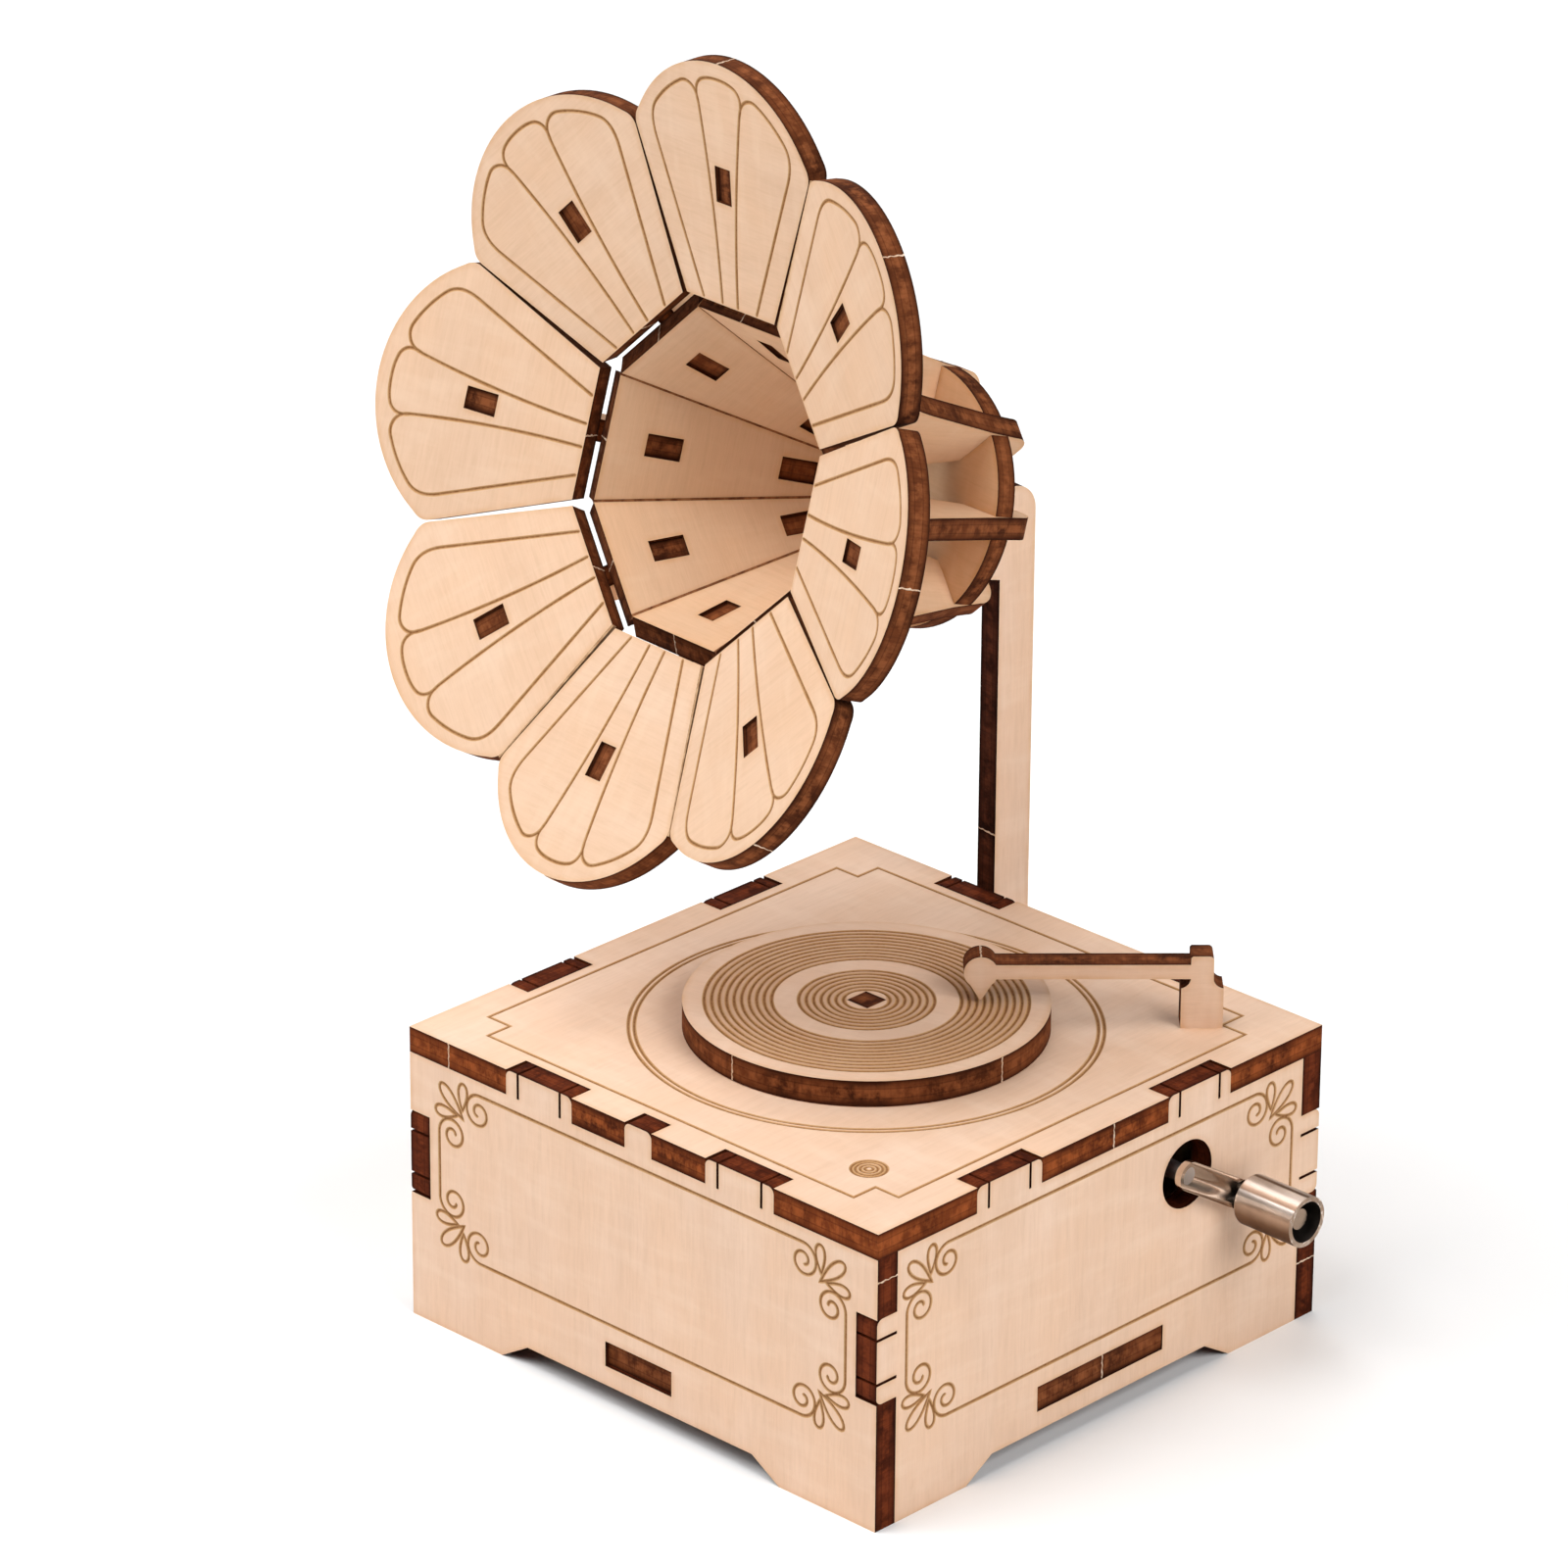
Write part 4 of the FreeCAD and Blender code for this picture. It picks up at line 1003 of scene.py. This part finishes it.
# ---------------------------------------------------------------- the horn
seams = bmesh.new()
joints = bmesh.new()
for number in SECTORS:
    petal_node = f"petal_{number}"
    petal = horn_sheet(petal_node, petal_start)
    engraved_plate(petal_node, petal, petal_lines(), "root", 10 + number, grain_turn=90.0,
                   thickness=horn_ply, tone_and_shade=petal_tone_painted_shade)
    cone_node = f"cone_panel_{number}"
    cone = horn_sheet(cone_node, 0.0)
    dress_plate(cone_node, cone, 20 + number, grain_turn=90.0, thickness=horn_ply,
                tone_and_shade=cone_tone_painted_shade)
    add_seam(seams, cone_node, cone, seam_half, 0.0, seam_rise, seam_depth)
    if number in touching_petals:
        add_seam(joints, petal_node, petal, joint_half, joint_aside, -joint_sink, joint_depth)
    for start, way in petal_marks:
        add_mark(marks, petal_node, petal, start, way, horn_ply)
    add_mark(marks, cone_node, cone, *cone_mark, horn_ply)
    rib_node = f"horn_rib_{number}"
    rib = wall_sheet(rib_node, horn_axis, main_normal(rib_node))
    dress_plate(rib_node, rib, 30 + number, thickness=horn_ply, tone_and_shade=rib_tone_painted_shade)
dress_plate("horn_back_disc", wall_sheet("horn_back_disc", Z.cross(horn_axis), horn_axis), 40,
            thickness=horn_ply, tone_and_shade=disc_tone_painted_shade)
post = wall_sheet("horn_post", Z, main_normal("horn_post"))
dress_plate("horn_post", post, 41, char_and_shade=post_char_painted_shade)
post_front = 1 if post.v.y < 0 else -1
add_mark(marks, "horn_post", post, (post_mark_height, 60 * post_front), (0, -post_front), box_ply)

finish_mesh("break_off_marks", marks, torn, "root")
finish_mesh("record_break_off_marks", record_marks, torn, "record")
finish_mesh("cone_seams", seams, burnt_seam, "root")
finish_mesh("petal_joints", joints, toasted_joint, "root")

# ---------------------------------------------------------------- metal and plastic
dress("crank_arm", (pressed,))
dress("knob_rivet", (chrome,))
dress("crank_knob", (turned_chrome_painted_reflection, shaded_recess))
knob_middle = middle_of("crank_knob")
knob_end = max(corner.x for corner in corners_of("crank_knob"))
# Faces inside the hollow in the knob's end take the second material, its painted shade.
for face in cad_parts["crank_knob"].data.polygons:
    off_axis = face.center - knob_middle
    hollow = math.hypot(off_axis.y, off_axis.z) < recess_r * MM and face.center.x < knob_end
    face.material_index = 1 if hollow else 0
for node in ("crank_shaft", "cylinder_shaft", "comb", "comb_screws", "bracket_screws",
             "base_screws", "cylinder_pins"):
    dress(node, (steel,))
for node in ("crank_worm", "music_cylinder", "cylinder_cap_front", "cylinder_cap_back"):
    dress(node, (brass,))
for node in ("comb_block", "cylinder_bracket_front", "cylinder_bracket_back",
             "worm_bracket_inner", "worm_bracket_outer", "movement_base"):
    dress(node, (plate_metal,))
dress("worm_wheel", (gear_plastic,))

# ---------------------------------------------------------------- floor, light and camera
floor_mesh = bpy.data.meshes.new("floor")
floor_corners = ((-1, -1), (1, -1), (1, 1), (-1, 1))
floor_mesh.from_pydata([(x * floor_reach, y * floor_reach, 0) for x, y in floor_corners], [],
                       [(0, 1, 2, 3)])
floor_mesh.materials.append(floor_material())
floor = bpy.data.objects.new("floor", floor_mesh)
bpy.context.collection.objects.link(floor)


def soft_light(azimuth, elevation, power):
    """A square light that faces the object; azimuth 0 is in front of it and 90 to its right."""
    data = bpy.data.lights.new("soft_light", "AREA")
    data.shape = "SQUARE"
    data.size = light_size
    data.energy = power
    light = bpy.data.objects.new("soft_light", data)
    turn = math.radians(azimuth)
    lift = math.radians(elevation)
    way = Vector((math.sin(turn) * math.cos(lift), -math.cos(turn) * math.cos(lift),
                  math.sin(lift)))
    light.location = light_target + way * light_distance
    light.rotation_mode = "QUATERNION"
    light.rotation_quaternion = way.to_track_quat("Z", "Y")
    bpy.context.collection.objects.link(light)


for azimuth, elevation, power in studio_lights:
    soft_light(azimuth, elevation, power)

world = bpy.data.worlds.new("studio")
world.use_nodes = True
world_tree = world.node_tree
background = world_tree.nodes["Background"]
background.inputs["Color"].default_value = (1.0, 1.0, 1.0, 1)
background.inputs["Strength"].default_value = world_strength
mirrored_room = world_tree.nodes.new("ShaderNodeBackground")
direction = world_tree.nodes.new("ShaderNodeTexCoord")
height = world_tree.nodes.new("ShaderNodeSeparateXYZ")
room_ramp = world_tree.nodes.new("ShaderNodeValToRGB")
light_path = world_tree.nodes.new("ShaderNodeLightPath")
chosen_world = world_tree.nodes.new("ShaderNodeMixShader")
for place, brightness in room_bands:
    stop = room_ramp.color_ramp.elements.new(place)
    stop.color = (*(brightness * part for part in room_tint), 1)
world_tree.links.new(direction.outputs["Generated"], height.inputs[0])
world_tree.links.new(height.outputs["Z"], room_ramp.inputs[0])
world_tree.links.new(room_ramp.outputs[0], mirrored_room.inputs["Color"])
world_tree.links.new(light_path.outputs["Is Glossy Ray"], chosen_world.inputs[0])
world_tree.links.new(background.outputs[0], chosen_world.inputs[1])
world_tree.links.new(mirrored_room.outputs[0], chosen_world.inputs[2])
world_tree.links.new(chosen_world.outputs[0], world_tree.nodes["World Output"].inputs["Surface"])
bpy.context.scene.world = world
bpy.context.scene.view_settings.view_transform = "Standard"

a = math.radians(camera_azimuth)
e = math.radians(camera_elevation)
r = math.radians(camera_roll)
back = Vector((math.sin(a) * math.cos(e), -math.cos(a) * math.cos(e), math.sin(e)))
level_right = Vector((math.cos(a), math.sin(a), 0))
level_up = back.cross(level_right)
right = level_right * math.cos(r) + level_up * math.sin(r)
up = level_up * math.cos(r) - level_right * math.sin(r)
camera_data = bpy.data.cameras.new("camera")
camera_data.sensor_width = 36.0
camera_data.lens = camera_lens
camera = bpy.data.objects.new("camera", camera_data)
turned = Matrix((right, up, back)).transposed().to_4x4()
camera.matrix_world = Matrix.Translation(camera_target + back * camera_distance) @ turned
bpy.context.collection.objects.link(camera)
bpy.context.scene.camera = camera
